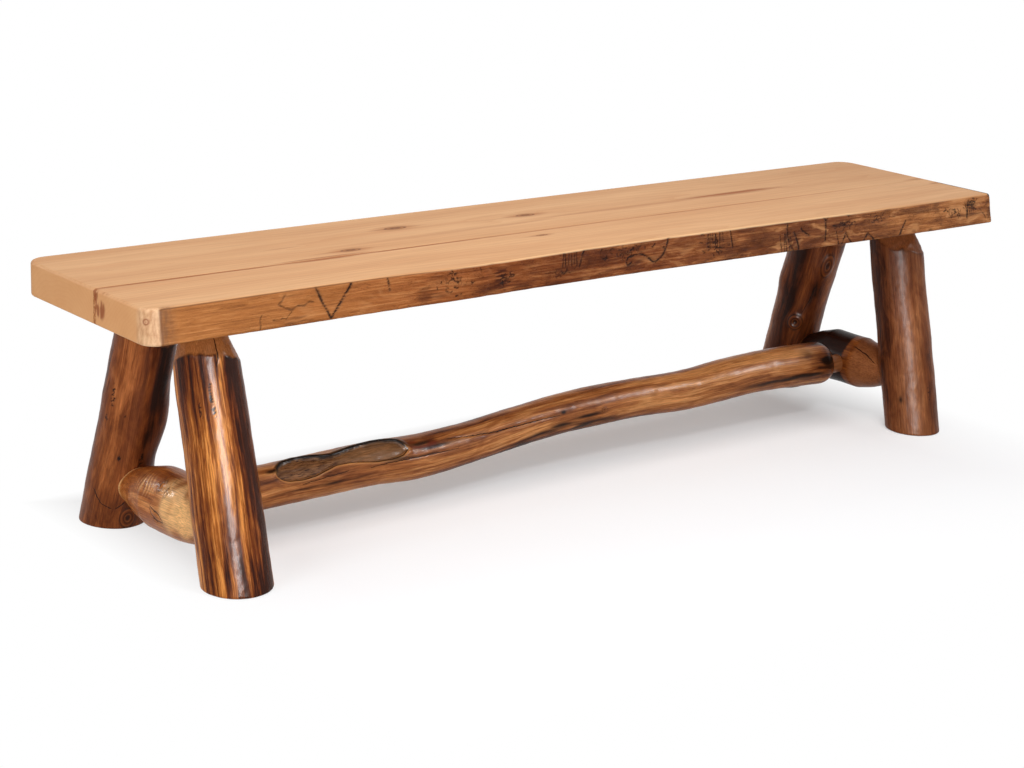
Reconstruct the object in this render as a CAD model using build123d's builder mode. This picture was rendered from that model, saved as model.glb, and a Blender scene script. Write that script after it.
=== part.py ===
"""Rustic log bench: a live-edge plank seat on four splayed log legs, braced by log stretchers."""

from build123d import *
import os
from math import cos, radians, sin, tau

os.makedirs("parts", exist_ok=True)

# ---------------------------------------------------------------- driving sizes, mm

# Seat: two planks glued edge to edge, the front one with its natural outer edge
seat_length = 1829
seat_depth = 374
seat_thickness = 54
seat_height = 446
seat_centre_y = 5
front_plank_depth = 153
back_corner_radius = 34
front_left_corner_radius = 26
front_right_corner_radius = 7
top_arris = 5
bottom_arris = 4
# how far the live edge stands in (+) or out (-) from the sawn depth, at equal steps from the left end
live_edge_top = (4, 6, 6, -2, 2, 5, 2, -2, -8, -10, -8)
live_edge_bottom = (-4, -2, 0, -1, 2, 0, -5, -10, -15, -19, -20)

# Seam dowels
dowel_radius = 5
dowel_length = 80
dowel_spacing = 280
dowel_count = 5

# Legs: how far the top stands in from the seat's end and edge, how far the foot stands out beyond
# the top, and the log's radius at the foot, half way up and at the shoulder
legs = {
    "leg_front_left": {"inset": (146.5, 95), "splay": (-7, 94), "radii": (54, 52.5, 49.5), "turn": 20},
    "leg_back_left": {"inset": (167.5, 103), "splay": (22, 92), "radii": (53.5, 50, 48), "turn": 75},
    "leg_front_right": {"inset": (152.5, 95), "splay": (-6, 98), "radii": (50, 50.5, 49), "turn": 140},
    "leg_back_right": {"inset": (142.5, 97), "splay": (0, 90), "radii": (50, 51.5, 54), "turn": 200},
}
foot_chamfer = 4
shoulder_drop = 64
neck_drop = 34
neck_radius = 38.5
leg_tenon_radius = 25
leg_tenon_length = 30
leg_tenon_lip = 2
countersink_depth = 5

# Side stretchers: height at the front and the back leg, log radius, and for each end the
# radius it is tapered to at the leg and how long the taper is
side_stretchers = {
    "left": {"heights": (91, 71), "radius": 49, "front": (42, 46), "back": (42, 46), "turn": 10},
    "right": {"heights": (98, 92), "radius": 51, "front": (28, 66), "back": (25, 78), "turn": 50},
}
log_belly = 1.5
taper_belly = 2
nose_tip_share = 0.85
side_tenon_radius = 20
side_tenon_length = 44
side_tenon_root = 12

# Centre stretcher: the log's natural run as (share of the way from left to right, how far the pith lies
# behind and above a straight line between the side stretchers, radius)
centre_run = (
    (0, 0, -1, 33),
    (0.11, -1, -1, 35),
    (0.185, -4, 1, 36.7),
    (0.23, -5, 1.3, 37),
    (0.297, -3, -4.5, 35.6),
    (0.345, 1, -2.9, 34.6),
    (0.43, 7, 5.7, 34),
    (0.52, 9, 14.3, 34.3),
    (0.612, 6, 14.6, 34.8),
    (0.703, 1, 11.8, 35.8),
    (0.76, -3, 17.7, 37.2),
    (0.81, -5, 20.6, 37),
    (0.864, -4, 18.1, 39.1),
    (0.919, -1, 11.8, 39.7),
    (1, 0, -1, 37.5),
)
centre_setback = 20
centre_stations = 25
centre_turn = 30
centre_end_bevel = 13
centre_shoulder_gap = 20
centre_tenon_radius = 17.5
centre_tenon_length = 42
centre_tenon_root = 8

# A peeled log's cross-section: long flats left by the drawknife, slightly oval with a softer third lobe
flats = 20
oval = 0.022
third_lobe = 0.012

# Steel pins across the stretchers' tenons, driven from the hidden side and set below the surface
pin_radius = 2.5
pin_length = 62
pin_sink = 6

# Fits
glue_gap = 0.15
tenon_end_gap = 2
pin_gap = 0.1
# how far a log or a cutting tool runs on past the finished wood
overrun = 80

# ---------------------------------------------------------------- sizes that follow

seat_bottom = seat_height - seat_thickness
seat_front_y = seat_centre_y - seat_depth / 2
seat_back_y = seat_centre_y + seat_depth / 2
seam_y = seat_front_y + front_plank_depth
half_length = seat_length / 2
centre_y = seat_centre_y - centre_setback

# ---------------------------------------------------------------- shaping and placing


def rod(plane, radius, near, far):
    """A plain round rod or hole along the plane's normal."""
    with BuildPart() as body:
        with BuildSketch(plane.offset(near)):
            Circle(radius)
        extrude(amount=far - near)
    return body.part


def log_outline(radius, turn):
    """Corners of one cross-section of a peeled log, in degrees turned about its pith."""
    corners = []
    for flat in range(flats):
        angle = tau * flat / flats
        lobes = oval * cos(2 * angle + radians(turn)) + third_lobe * cos(3 * angle - radians(turn))
        corners.append((radius * (1 + lobes) * cos(angle), radius * (1 + lobes) * sin(angle)))
    return corners


def peeled_log(stations, turn):
    """A log of long flats through parallel cross-sections, given as (plane, radius) along its length."""
    rings = []
    for plane, radius in stations:
        rings.append([plane.from_local_coords(Vector(*corner)) for corner in log_outline(radius, turn)])
    skin = [Face(Wire.make_polygon(ring)) for ring in (rings[0], rings[-1])]
    for near, far in zip(rings[:-1], rings[1:]):
        for corner in range(flats):
            flat = (near[corner - 1], near[corner], far[corner], far[corner - 1])
            skin.append(Face(Wire.make_polygon(flat)))
    return Solid(Shell(skin))


def plane_towards(start, end, side):
    """A plane at start whose normal runs to end, and the distance between them."""
    run = end - start
    return Plane(origin=start, x_dir=side.cross(run), z_dir=run), run.length


# ---------------------------------------------------------------- where the pieces meet


def leg_point(name, height):
    """The point on a leg's pith at a height above the floor."""
    end, side = name.split("_")[1:]
    outward_x = 1 if side == "right" else -1
    outward_y = 1 if end == "back" else -1
    edge_y = seat_back_y if end == "back" else seat_front_y
    inset_x, inset_y = legs[name]["inset"]
    splay_x, splay_y = legs[name]["splay"]
    top = Vector(outward_x * (half_length - inset_x), edge_y - outward_y * inset_y, seat_bottom)
    foot = Vector(top.X + outward_x * splay_x, top.Y + outward_y * splay_y, 0)
    return foot + (top - foot) * (height / seat_bottom)


def leg_body(name, gap=0, reach=0):
    """A leg before drilling: swelling log, hewn shoulder and round tenon, or their socket in the seat."""
    plane, length = plane_towards(leg_point(name, 0), leg_point(name, seat_bottom), Vector(0, 1, 0))
    foot_radius, middle_radius, shoulder_radius = legs[name]["radii"]
    shoulder = length - shoulder_drop
    tenon_start = length + countersink_depth
    outline = (
        (-overrun / 2, foot_radius),
        (shoulder / 2, middle_radius),
        (shoulder, shoulder_radius),
        (length - neck_drop, neck_radius),
        (tenon_start, leg_tenon_radius + leg_tenon_lip),
    )
    stations = [(plane.offset(distance), radius + gap) for distance, radius in outline]
    with BuildPart() as body:
        add(peeled_log(stations, legs[name]["turn"]))
        add(rod(plane, leg_tenon_radius + gap, shoulder, tenon_start + leg_tenon_length + reach))
    return body.part


def leg_face(side, end):
    """How far a leg's round face stands from its pith at the side stretcher's height."""
    foot_radius, middle_radius, _ = legs["leg_" + end + "_" + side]["radii"]
    height = side_stretchers[side]["heights"][("front", "back").index(end)]
    return foot_radius + (middle_radius - foot_radius) * height / (seat_bottom / 2)


def side_frame(side):
    """The plane at the front leg's pith facing along a side stretcher, and the run to the back leg."""
    front_height, back_height = side_stretchers[side]["heights"]
    front = leg_point("leg_front_" + side, front_height)
    back = leg_point("leg_back_" + side, back_height)
    return plane_towards(front, back, Vector(1, 0, 0))


def side_tenon(side, end, gap=0, reach=0):
    """The round tenon at one end of a side stretcher, or its mortise in the leg."""
    plane, length = side_frame(side)
    tip = leg_face(side, end) - side_tenon_length - reach
    root = leg_face(side, end) + side_tenon_root
    if end == "back":
        tip, root = length - tip, length - root
    return rod(plane, side_tenon_radius + gap, tip, root)


def side_point(side):
    """The point on a side stretcher's pith where the centre stretcher meets it."""
    plane, length = side_frame(side)
    share = (centre_y - plane.origin.Y) / (plane.z_dir.Y * length)
    return plane.origin + plane.z_dir * (length * share)


def centre_tenon(side, gap=0, reach=0):
    """The round tenon at one end of the centre stretcher, or its mortise in the side stretcher."""
    outward = 1 if side == "right" else -1
    face = side_stretchers[side]["radius"]
    plane = Plane(origin=side_point(side), x_dir=(0, 1, 0), z_dir=(outward, 0, 0))
    root = -face - centre_shoulder_gap - centre_tenon_root
    return rod(plane, centre_tenon_radius + gap, root, centre_tenon_length + reach - face)


def leg_pin(side, end, gap=0, reach=0):
    """A pin driven through a leg from the inside, across the side stretcher's tenon, or its bore."""
    plane, length = side_frame(side)
    face = leg_face(side, end)
    offset = face - side_tenon_length / 2
    along = offset if end == "front" else length - offset
    inward = -1 if side == "right" else 1
    depth = (face**2 - offset**2) ** 0.5 - pin_sink
    start = plane.origin + plane.z_dir * along + Vector(inward * depth, 0, 0)
    bore = Plane(origin=start, x_dir=(0, 1, 0), z_dir=(-inward, 0, 0))
    return rod(bore, pin_radius + gap, -reach, pin_length + gap)


def stretcher_pin(side, gap=0, reach=0):
    """A pin driven up through a side stretcher, across the centre stretcher's tenon, or its bore."""
    radius = side_stretchers[side]["radius"]
    offset = radius - centre_tenon_length / 2
    inward = -1 if side == "right" else 1
    depth = (radius**2 - offset**2) ** 0.5 - pin_sink
    start = side_point(side) + Vector(inward * offset, 0, -depth)
    bore = Plane(origin=start, x_dir=(1, 0, 0), z_dir=(0, 0, 1))
    return rod(bore, pin_radius + gap, -reach, pin_length + gap)


# ---------------------------------------------------------------- legs

for name in legs:
    end, side = name.split("_")[1:]
    with BuildPart() as leg:
        add(leg_body(name))
        split(bisect_by=Plane.XY, keep=Keep.TOP)
        chamfer(leg.faces().sort_by(Axis.Z)[0].edges(), foot_chamfer)
        add(side_tenon(side, end, glue_gap, tenon_end_gap), mode=Mode.SUBTRACT)
        add(leg_pin(side, end, pin_gap, overrun), mode=Mode.SUBTRACT)
    leg.part.label = name
    export_step(leg.part, "parts/" + name + ".step")

# ---------------------------------------------------------------- side stretchers


def side_taper(side, end):
    """One tapered end as (distance, radius), from the leg's pith to the full log."""
    nose, taper = side_stretchers[side][end]
    log = side_stretchers[side]["radius"]
    face = leg_face(side, end)
    middle = (nose + log) / 2 + taper_belly
    return [(0, nose * nose_tip_share), (face, nose), (face + taper / 2, middle), (face + taper, log)]


for side in side_stretchers:
    frame, run = side_frame(side)
    front_taper = side_taper(side, "front")
    back_taper = [(run - distance, radius) for distance, radius in reversed(side_taper(side, "back"))]
    belly = (run / 2, side_stretchers[side]["radius"] + log_belly)
    stations = [(frame.offset(distance), radius) for distance, radius in front_taper + [belly] + back_taper]
    with BuildPart() as side_stretcher:
        add(peeled_log(stations, side_stretchers[side]["turn"]))
        for end in ("front", "back"):
            add(leg_body("leg_" + end + "_" + side), mode=Mode.SUBTRACT)
        for end in ("front", "back"):
            add(side_tenon(side, end))
            add(leg_pin(side, end, pin_gap, overrun), mode=Mode.SUBTRACT)
        add(centre_tenon(side, glue_gap, tenon_end_gap), mode=Mode.SUBTRACT)
        add(stretcher_pin(side, pin_gap, overrun), mode=Mode.SUBTRACT)
    side_stretcher.part.label = "side_stretcher_" + side
    export_step(side_stretcher.part, "parts/side_stretcher_" + side + ".step")

# ---------------------------------------------------------------- centre stretcher

chord = side_point("right") - side_point("left")
pith = [side_point("left") + chord * share + Vector(0, back, up) for share, back, up, radius in centre_run]
with BuildLine() as course:
    Spline(*pith)
with BuildLine() as girth:
    Spline(*[(point.X, 0, row[-1]) for point, row in zip(pith, centre_run)])
left_end = side_point("left").X + side_stretchers["left"]["radius"] + centre_shoulder_gap
right_end = side_point("right").X - side_stretchers["right"]["radius"] - centre_shoulder_gap


def centre_section(x, hewn=0):
    """The centre stretcher's cross-section at x, as (plane, radius), hewn down by so much."""
    share = (x - pith[0].X) / chord.X
    point = course.line @ share
    plane = Plane(origin=(x, point.Y, point.Z), x_dir=(0, 1, 0), z_dir=(1, 0, 0))
    return plane, (girth.line @ share).Z - hewn


full_start = left_end + centre_end_bevel
full_run = right_end - centre_end_bevel - full_start
stations = [centre_section(left_end, centre_end_bevel)]
for station in range(centre_stations):
    stations.append(centre_section(full_start + full_run * station / (centre_stations - 1)))
stations.append(centre_section(right_end, centre_end_bevel))

with BuildPart() as centre_stretcher:
    add(peeled_log(stations, centre_turn))
    for side in side_stretchers:
        add(centre_tenon(side))
        add(stretcher_pin(side, pin_gap, overrun), mode=Mode.SUBTRACT)
centre_stretcher.part.label = "centre_stretcher"
export_step(centre_stretcher.part, "parts/centre_stretcher.step")

# ---------------------------------------------------------------- seat

dowel_places = [dowel_spacing * (index - (dowel_count - 1) / 2) for index in range(dowel_count)]


def seam_dowel(x, gap=0, reach=0):
    """A dowel across the glue line at mid thickness, or its hole."""
    plane = Plane(origin=(x, seam_y, (seat_bottom + seat_height) / 2), x_dir=(1, 0, 0), z_dir=(0, 1, 0))
    half = dowel_length / 2 + reach
    return rod(plane, dowel_radius + gap, -half, half)


# Both planks' arrises are eased in two cuts: (height above the underside, inset of the outline)
cut = 1 - cos(tau / 8)
easing = (
    (0, bottom_arris),
    (bottom_arris * cut, bottom_arris * cut),
    (bottom_arris, 0),
    (seat_thickness - top_arris, 0),
    (seat_thickness - top_arris * cut, top_arris * cut),
    (seat_thickness, top_arris),
)
steps = len(live_edge_top) - 1
with BuildPart() as front_plank:
    for height, inset in easing:
        live_edge = live_edge_top if height > seat_thickness / 2 else live_edge_bottom
        left_arc = front_left_corner_radius - inset
        right_arc = front_right_corner_radius - inset
        left_x = -half_length + inset
        right_x = half_length - inset
        waves = [
            (
                left_x + left_arc + (right_x - right_arc - left_x - left_arc) * step / steps,
                seat_front_y + wave + inset,
            )
            for step, wave in enumerate(live_edge)
        ]
        left_y = waves[0][1] + left_arc
        right_y = waves[-1][1] + right_arc
        with BuildSketch(Plane.XY.offset(seat_bottom + height)):
            with BuildLine():
                Line((left_x, seam_y), (left_x, left_y))
                RadiusArc((left_x, left_y), waves[0], -left_arc)
                Spline(*waves, tangents=((1, 0), (1, 0)))
                RadiusArc(waves[-1], (right_x, right_y), -right_arc)
                Line((right_x, right_y), (right_x, seam_y))
                Line((right_x, seam_y), (left_x, seam_y))
            make_face()
    loft(ruled=True)
    for x in dowel_places:
        add(seam_dowel(x, glue_gap, tenon_end_gap), mode=Mode.SUBTRACT)
    for name in ("leg_front_left", "leg_front_right"):
        add(leg_body(name, glue_gap, tenon_end_gap), mode=Mode.SUBTRACT)
front_plank.part.label = "seat_plank_front"
export_step(front_plank.part, "parts/seat_plank_front.step")

with BuildPart() as back_plank:
    for height, inset in easing:
        with BuildSketch(Plane.XY.offset(seat_bottom + height)) as outline:
            with Locations((0, seam_y)):
                Rectangle(
                    seat_length - 2 * inset,
                    seat_back_y - inset - seam_y,
                    align=(Align.CENTER, Align.MIN),
                )
            fillet(outline.vertices().sort_by(Axis.Y)[-2:], back_corner_radius - inset)
    loft(ruled=True)
    for x in dowel_places:
        add(seam_dowel(x, glue_gap, tenon_end_gap), mode=Mode.SUBTRACT)
    for name in ("leg_back_left", "leg_back_right"):
        add(leg_body(name, glue_gap, tenon_end_gap), mode=Mode.SUBTRACT)
back_plank.part.label = "seat_plank_back"
export_step(back_plank.part, "parts/seat_plank_back.step")

# ---------------------------------------------------------------- hidden dowels and pins


def export_group(solids, label):
    """Several like pieces under one name."""
    export_step(Compound(label=label, children=solids), "parts/" + label + ".step")


export_group([seam_dowel(x) for x in dowel_places], "seat_dowels")
export_group([leg_pin(side, end) for side in side_stretchers for end in ("front", "back")], "leg_pins")
export_group([stretcher_pin(side) for side in side_stretchers], "stretcher_pins")
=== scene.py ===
"""Dresses the rustic log bench: peeled logs, hewn shoulders, and a seat with its natural edge."""

from math import cos, pi, radians, sin, sqrt, tau

import bpy
import numpy as np
from mathutils import Matrix, Vector
from mathutils.bvhtree import BVHTree


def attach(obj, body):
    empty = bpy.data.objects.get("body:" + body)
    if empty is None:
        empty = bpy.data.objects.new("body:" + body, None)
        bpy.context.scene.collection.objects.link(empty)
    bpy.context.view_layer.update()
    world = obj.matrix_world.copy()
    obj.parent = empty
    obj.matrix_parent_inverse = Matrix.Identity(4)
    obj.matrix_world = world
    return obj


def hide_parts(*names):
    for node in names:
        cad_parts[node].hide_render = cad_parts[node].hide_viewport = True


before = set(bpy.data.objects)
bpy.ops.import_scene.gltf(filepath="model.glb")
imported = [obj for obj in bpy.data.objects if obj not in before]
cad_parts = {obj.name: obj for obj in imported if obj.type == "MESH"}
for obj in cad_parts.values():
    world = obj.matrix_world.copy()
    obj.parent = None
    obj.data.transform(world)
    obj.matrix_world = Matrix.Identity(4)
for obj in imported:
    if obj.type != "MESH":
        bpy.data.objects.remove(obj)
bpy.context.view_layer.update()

MM = 0.001

# ------------------------------------------------------------------ the four legs
# Peeled pine or aspen logs, about 100 mm thick, splayed out at the foot. The bark is drawn off
# with a drawknife, which leaves brown inner bark in long streaks; the top is hewn to a blunt
# cone and a round tenon that is driven into the seat. Finished with several coats of gloss.

LEG_SIDES, LEG_RINGS = 176, 190
OVAL, THIRD_LOBE = 0.022, 0.012
FOOT_CHAMFER = 3.5 * MM
SHOULDER_DROP = 64 * MM
SHOULDER_SLOPE = 0.34
SHOULDER_FLATS = 52
SOCKET_DEPTH = 5 * MM
LEG_TENON = (25 * MM, 30 * MM, 2 * MM)  # radius, length and easing of the tip
SEAT_UNDERSIDE = 392 * MM
TENON_RINGS = 3
NO_SPLIT = 30.0  # the crack's mark where no crack is near, in widths of a crack

# where the middle of each leg meets the floor and the underside of the seat
LEG_LINES = {
    "leg_front_left": ((-0.761, -0.181), (-0.768, -0.087)),
    "leg_back_left": ((-0.769, 0.181), (-0.747, 0.089)),
    "leg_front_right": ((0.756, -0.185), (0.762, -0.087)),
    "leg_back_right": ((0.772, 0.185), (0.772, 0.095)),
}
# what each kind of mark is on the turned wood of a tenon
TENON_MARKS = {"knot": 0.0, "stain": 0.0, "bare": 1.0, "dark": 0.0, "split": NO_SPLIT}


def wander(seed, along, around, length, waves, terms=12):
    """A natural unevenness of about -1 to 1 that closes on itself round the log."""
    draw = np.random.default_rng(seed)
    total = np.zeros(np.broadcast(along, around).shape)
    for _ in range(terms):
        turns = draw.integers(0, waves + 1)
        pace = draw.normal(0, 1) * tau / length
        total += np.cos(turns * around + pace * along + draw.uniform(0, tau))
    return total / sqrt(terms / 2)


def ease(value, low, high):
    """0 below low, 1 above high, and smooth between."""
    share = np.clip((value - low) / (high - low), 0, 1)
    return share * share * (3 - 2 * share)


def turned(angle):
    """An angle brought to between -pi and pi."""
    return (angle + pi) % tau - pi


def off_run(off, run):
    """How far points lie from a straight run, from their two offsets to its start."""
    share = np.clip((off[0] * run[0] + off[1] * run[1]) / (run @ run), 0, 1)
    return np.hypot(off[0] - share * run[0], off[1] - share * run[1])


class PeeledLog:
    """A log's skin: the distance along it, the angle round it, radius, relief and marks."""

    def __init__(self, along, around, radius):
        self.along, self.around, self.radius = along, around, radius
        self.relief, self.marks = np.zeros_like(radius), {}

    def wander(self, seed, length, waves, terms=12):
        """Natural unevenness over this log's skin."""
        return wander(seed, self.along, self.around, length, waves, terms)

    def turn_from(self, angle):
        """How far round each point lies from an angle in degrees."""
        return turned(self.around - radians(angle))

    def off_spot(self, at, angle, long, wide):
        """How far each point lies from a spot, in shares of the spot's length and width."""
        return np.hypot((self.along - at) / long, self.turn_from(angle) * self.radius / wide)

    def mark(self, name, amount):
        """Adds one kind of mark, keeping the stronger where two meet."""
        self.marks[name] = np.maximum(self.marks.get(name, 0), np.clip(amount, 0, 1))

    def knot(self, at, angle, size, height, stretch=1.4):
        """A knot: a sunken heart in a raised collar, with the grain bent round it."""
        across = self.turn_from(angle) * self.radius
        reach = np.hypot((self.along - at) / stretch, across) / size
        self.relief += height * np.exp(-(((reach - 0.8) / 0.45) ** 2))
        self.relief += 0.6 * height * np.exp(-((reach / 2.2) ** 2))
        self.relief -= 0.5 * height * np.exp(-((reach / 0.35) ** 2))
        self.mark("knot", 1 - reach / 1.5)
        self.marks["bend"] = self.marks.get("bend", 0) - 0.8 * across * np.exp(-((reach / 1.7) ** 2))

    def crack(self, path, width, depth, seed=5):
        """A drying crack through (distance along, angle) points, tapering to nothing."""
        points = np.array([(at, radians(angle)) for at, angle in path])
        near, side = np.full(self.along.shape, 1.0), np.ones(self.along.shape)
        for (at, turn), (next_at, next_turn) in zip(points[:-1], points[1:]):
            run = np.array([next_at - at, (next_turn - turn) * np.mean(self.radius)])
            off = self.along - at, turned(self.around - turn) * self.radius
            gap = off_run(off, run)
            side = np.where(gap < near, np.sign(run[0] * off[1] - run[1] * off[0]), side)
            near = np.minimum(near, gap)
        first, last = points[:, 0].min(), points[:, 0].max()
        share = np.clip((self.along - first) / (last - first), 0, 1)
        taper = np.sqrt(4 * share * (1 - share))
        self.relief -= depth * taper * np.exp(-((near / max(width, 0.0016)) ** 2))
        split = side * (near + width * (1 - taper) + 0.02 * (taper == 0)) / width
        split += 0.35 * self.wander(seed, 0.012, 9)
        before = self.marks.get("split", np.full(self.along.shape, NO_SPLIT))
        self.marks["split"] = np.where(np.abs(split) < np.abs(before), split, before)

    def spot(self, at, angle, long, wide, amount=1.0):
        """A small dark spot with a soft edge."""
        self.mark("stain", amount * np.exp(-(self.off_spot(at, angle, long, wide) ** 2)))

    def shaded(self, at, long, angle, wide, amount):
        """A long patch, some degrees wide, where more of the dark inner bark is left on; on the right side
        of two legs it is also painted shade.
        """
        off_round = self.turn_from(angle) / radians(wide)
        here = amount * np.exp(-(off_round**2) - ((self.along - at) / long) ** 2)
        self.marks["dark"] = np.maximum(self.marks.get("dark", 0), here)

    def pits(self, at, angle, long, wide, seed):
        """A cluster of dark pits and scratches where a branch scar or a worm was."""
        here = np.exp(-(self.off_spot(at, angle, long, wide) ** 2))
        speckle = self.wander(seed, 0.006, 60, 26) * 0.6 + self.wander(seed + 1, 0.02, 30, 14) * 0.5
        amount = ease(here * (0.9 + speckle), 0.75, 1.15)
        self.relief -= 0.0003 * amount
        self.mark("stain", amount)

    def with_tenons(self, both, own_marks):
        """All the marks, with rings of plain turned wood added at the far end or at both."""
        added = ((TENON_RINGS * both, TENON_RINGS), (0, 0))
        ended = {}
        for label, on_tenon in {**TENON_MARKS, **dict(own_marks)}.items():
            amount = self.marks.get(label, NO_SPLIT if label == "split" else 0.0)
            amount = np.broadcast_to(amount, self.along.shape)
            ended[label] = np.pad(amount, added, constant_values=on_tenon)
        return ended


def tenon_rings(shoulder, tip, radius, easing, sides):
    """A round tenon from its shoulder to its eased tip: distances and radii."""
    step = easing * np.sign(np.mean(tip - shoulder))
    places = [np.broadcast_to(place, sides) for place in (shoulder, tip - step, tip)]
    return np.stack(places), np.repeat([[radius], [radius], [radius - easing]], sides, 1)


def ring_quads(count, sides):
    """The faces between rings of points, each ring closed on itself."""
    index = np.arange(count * sides).reshape(count, sides)
    near, far = index[:-1], index[1:]
    return np.stack([near, np.roll(near, -1, 1), np.roll(far, -1, 1), far], -1).reshape(-1, 4)


def capped(rings):
    """Values on a log's rings, followed by the means of its first and last ring for the caps."""
    flat = rings.reshape(-1, *rings.shape[2:])
    return np.concatenate([flat, rings[0].mean(0)[None], rings[-1].mean(0)[None]])


def store(mesh, label, amount, kind="FLOAT", field="value"):
    """Keeps a value for every point of a mesh, to be read by its material."""
    layer = mesh.attributes.new(label, kind, "POINT")
    layer.data.foreach_set(field, np.asarray(amount).astype(np.float32).ravel())


def unroll(mesh, quads, count, sides):
    """A flat map of a log for baking: its skin laid out, with the two end discs above it."""
    across, up = np.meshgrid(np.arange(sides) / sides, np.arange(count) / count)
    corners = np.stack([across, up * 0.9], -1).reshape(-1, 2)[quads]
    over_seam = corners[:, :, 0] < corners[:, :1, 0] - 0.5
    corners[:, :, 0][over_seam] += 1
    corners[:, :, 0] *= sides / (sides + 1)
    spin = tau * np.arange(sides) / sides
    disc = np.stack([np.cos(spin), np.sin(spin)], -1) * 0.035
    heart, ahead = np.zeros((sides, 2)), np.roll(disc, -1, 0)
    first_end = np.stack([heart, ahead, disc], 1) + (0.1, 0.95)
    last_end = np.stack([heart, disc, ahead], 1) + (0.3, 0.95)
    laid_out = np.concatenate([corners.ravel(), first_end.ravel(), last_end.ravel()])
    mesh.uv_layers.new(name="OFBake").data.foreach_set("uv", laid_out.astype(np.float32))


def fixed(name, mesh):
    """Puts a finished shape in its node's place, on the bench's one body."""
    thing = bpy.data.objects.new(name, mesh)
    bpy.context.scene.collection.objects.link(thing)
    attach(thing, "root")
    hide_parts(name)
    return thing


def around_line(radius, across, beside):
    """Steps from a log's middle line out to its skin, for every ring."""
    around = tau * np.arange(radius.shape[1]) / radius.shape[1]
    return radius[..., None] * (np.cos(around)[:, None] * across + np.sin(around)[:, None] * beside)


def fixed_log(name, finish, log, rings, radius, lengthwise, both=False, own_marks=()):
    """Closes a log round its rings, stores its marks and its grain, and fixes it to the bench."""
    count, sides = radius.shape
    quads = ring_quads(count, sides)
    heart, first = count * sides, np.arange(sides)
    last = first + (count - 1) * sides
    fan = [(heart, b, a) for a, b in zip(first, np.roll(first, -1))]
    fan += [(heart + 1, a, b) for a, b in zip(last, np.roll(last, -1))]
    mesh = bpy.data.meshes.new(name)
    mesh.from_pydata(capped(rings).tolist(), [], quads.tolist() + fan)
    mesh.polygons.foreach_set("use_smooth", np.ones(len(mesh.polygons), bool))
    mesh.set_sharp_from_angle(angle=radians(42))
    bend = np.broadcast_to(log.marks.get("bend", 0.0), log.along.shape)
    bend = np.pad(bend, ((TENON_RINGS * both, TENON_RINGS), (0, 0)))
    turn = tau * first / sides + bend / radius
    grain = np.stack([radius * np.cos(turn), radius * np.sin(turn), lengthwise], -1)
    store(mesh, "grain", capped(grain), "FLOAT_VECTOR", "vector")
    for label, amount in log.with_tenons(both, own_marks).items():
        store(mesh, label, capped(amount))
    unroll(mesh, quads, count, sides)
    thing = fixed(name, mesh)
    thing.data.materials.append(finish)
    return thing


def set_inputs(node, values):
    """Sets a node's sockets, or joins them to the outputs of other nodes."""
    for socket, value in dict(values).items():
        if isinstance(value, bpy.types.NodeSocket):
            node.id_data.links.new(value, node.inputs[socket])
        else:
            node.inputs[socket].default_value = value


def add_node(tree, kind, values=(), **settings):
    """A shader node with its settings made and its sockets set or joined."""
    node = tree.nodes.new("ShaderNode" + kind)
    for key, value in settings.items():
        setattr(node, key, value)
    set_inputs(node, values)
    return node


def tree_of(*values):
    """The node tree that the first socket among some values belongs to."""
    return next(value.id_data for value in values if isinstance(value, bpy.types.NodeSocket))


def maths(operation, *values):
    """One step of arithmetic on values."""
    return add_node(tree_of(*values), "Math", dict(enumerate(values)), operation=operation).outputs[0]


def vector_maths(operation, first, second):
    """One step of arithmetic on places."""
    values = {0: first, "Scale" if operation == "SCALE" else 1: second}
    return add_node(tree_of(first), "VectorMath", values, operation=operation).outputs[0]


def times(first, *others):
    """The product of two or more values."""
    for other in others:
        first = maths("MULTIPLY", first, other)
    return first


def plus(first, second):
    """The sum of two values."""
    return maths("ADD", first, second)


def minus(first, second):
    """What is left of the first value without the second."""
    return maths("SUBTRACT", first, second)


def between(value, low, high, to_low=0.0, to_high=1.0):
    """A value carried over from one range to another, and held inside it."""
    ranges = {0: value, 1: low, 2: high, 3: to_low, 4: to_high}
    return add_node(value.id_data, "MapRange", ranges).outputs[0]


def blend(share, first, second, how="MIX"):
    """Mixes two colours; a colour is a socket, or red, green and blue from 0 to 255."""
    first, second = (colour(*c) if isinstance(c, tuple) else c for c in (first, second))
    mix = {0: share, 6: first, 7: second}
    return add_node(tree_of(*mix.values()), "Mix", mix, data_type="RGBA", blend_type=how).outputs[2]


def colour(red, green, blue):
    """A colour as a painter's card gives it, 0 to 255, made ready for the shader."""
    shares = (c / 255 for c in (red, green, blue))
    return (*(c / 12.92 if c <= 10 / 255 else ((c + 0.055) / 1.055) ** 2.4 for c in shares), 1.0)


def shades(value, stops):
    """A run of colours, each at its place from 0 to 1."""
    node = add_node(value.id_data, "ValToRGB", {0: value})
    run = node.color_ramp.elements
    for element, (place, shade) in zip((run[0], run[1]), (stops[0], stops[-1])):
        element.position, element.color = place, colour(*shade)
    for place, shade in stops[1:-1]:
        run.new(place).color = colour(*shade)
    return node.outputs[0]


def read(tree, label, output="Fac"):
    """A mark stored on the mesh."""
    return add_node(tree, "Attribute", attribute_name=label).outputs[output]


def grey(value):
    """A value as a shade of grey."""
    return add_node(value.id_data, "CombineColor", {0: value, 1: value, 2: value}).outputs[0]


def axes(place):
    """The three parts of a place."""
    return add_node(place.id_data, "SeparateXYZ", {0: place}).outputs


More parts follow.
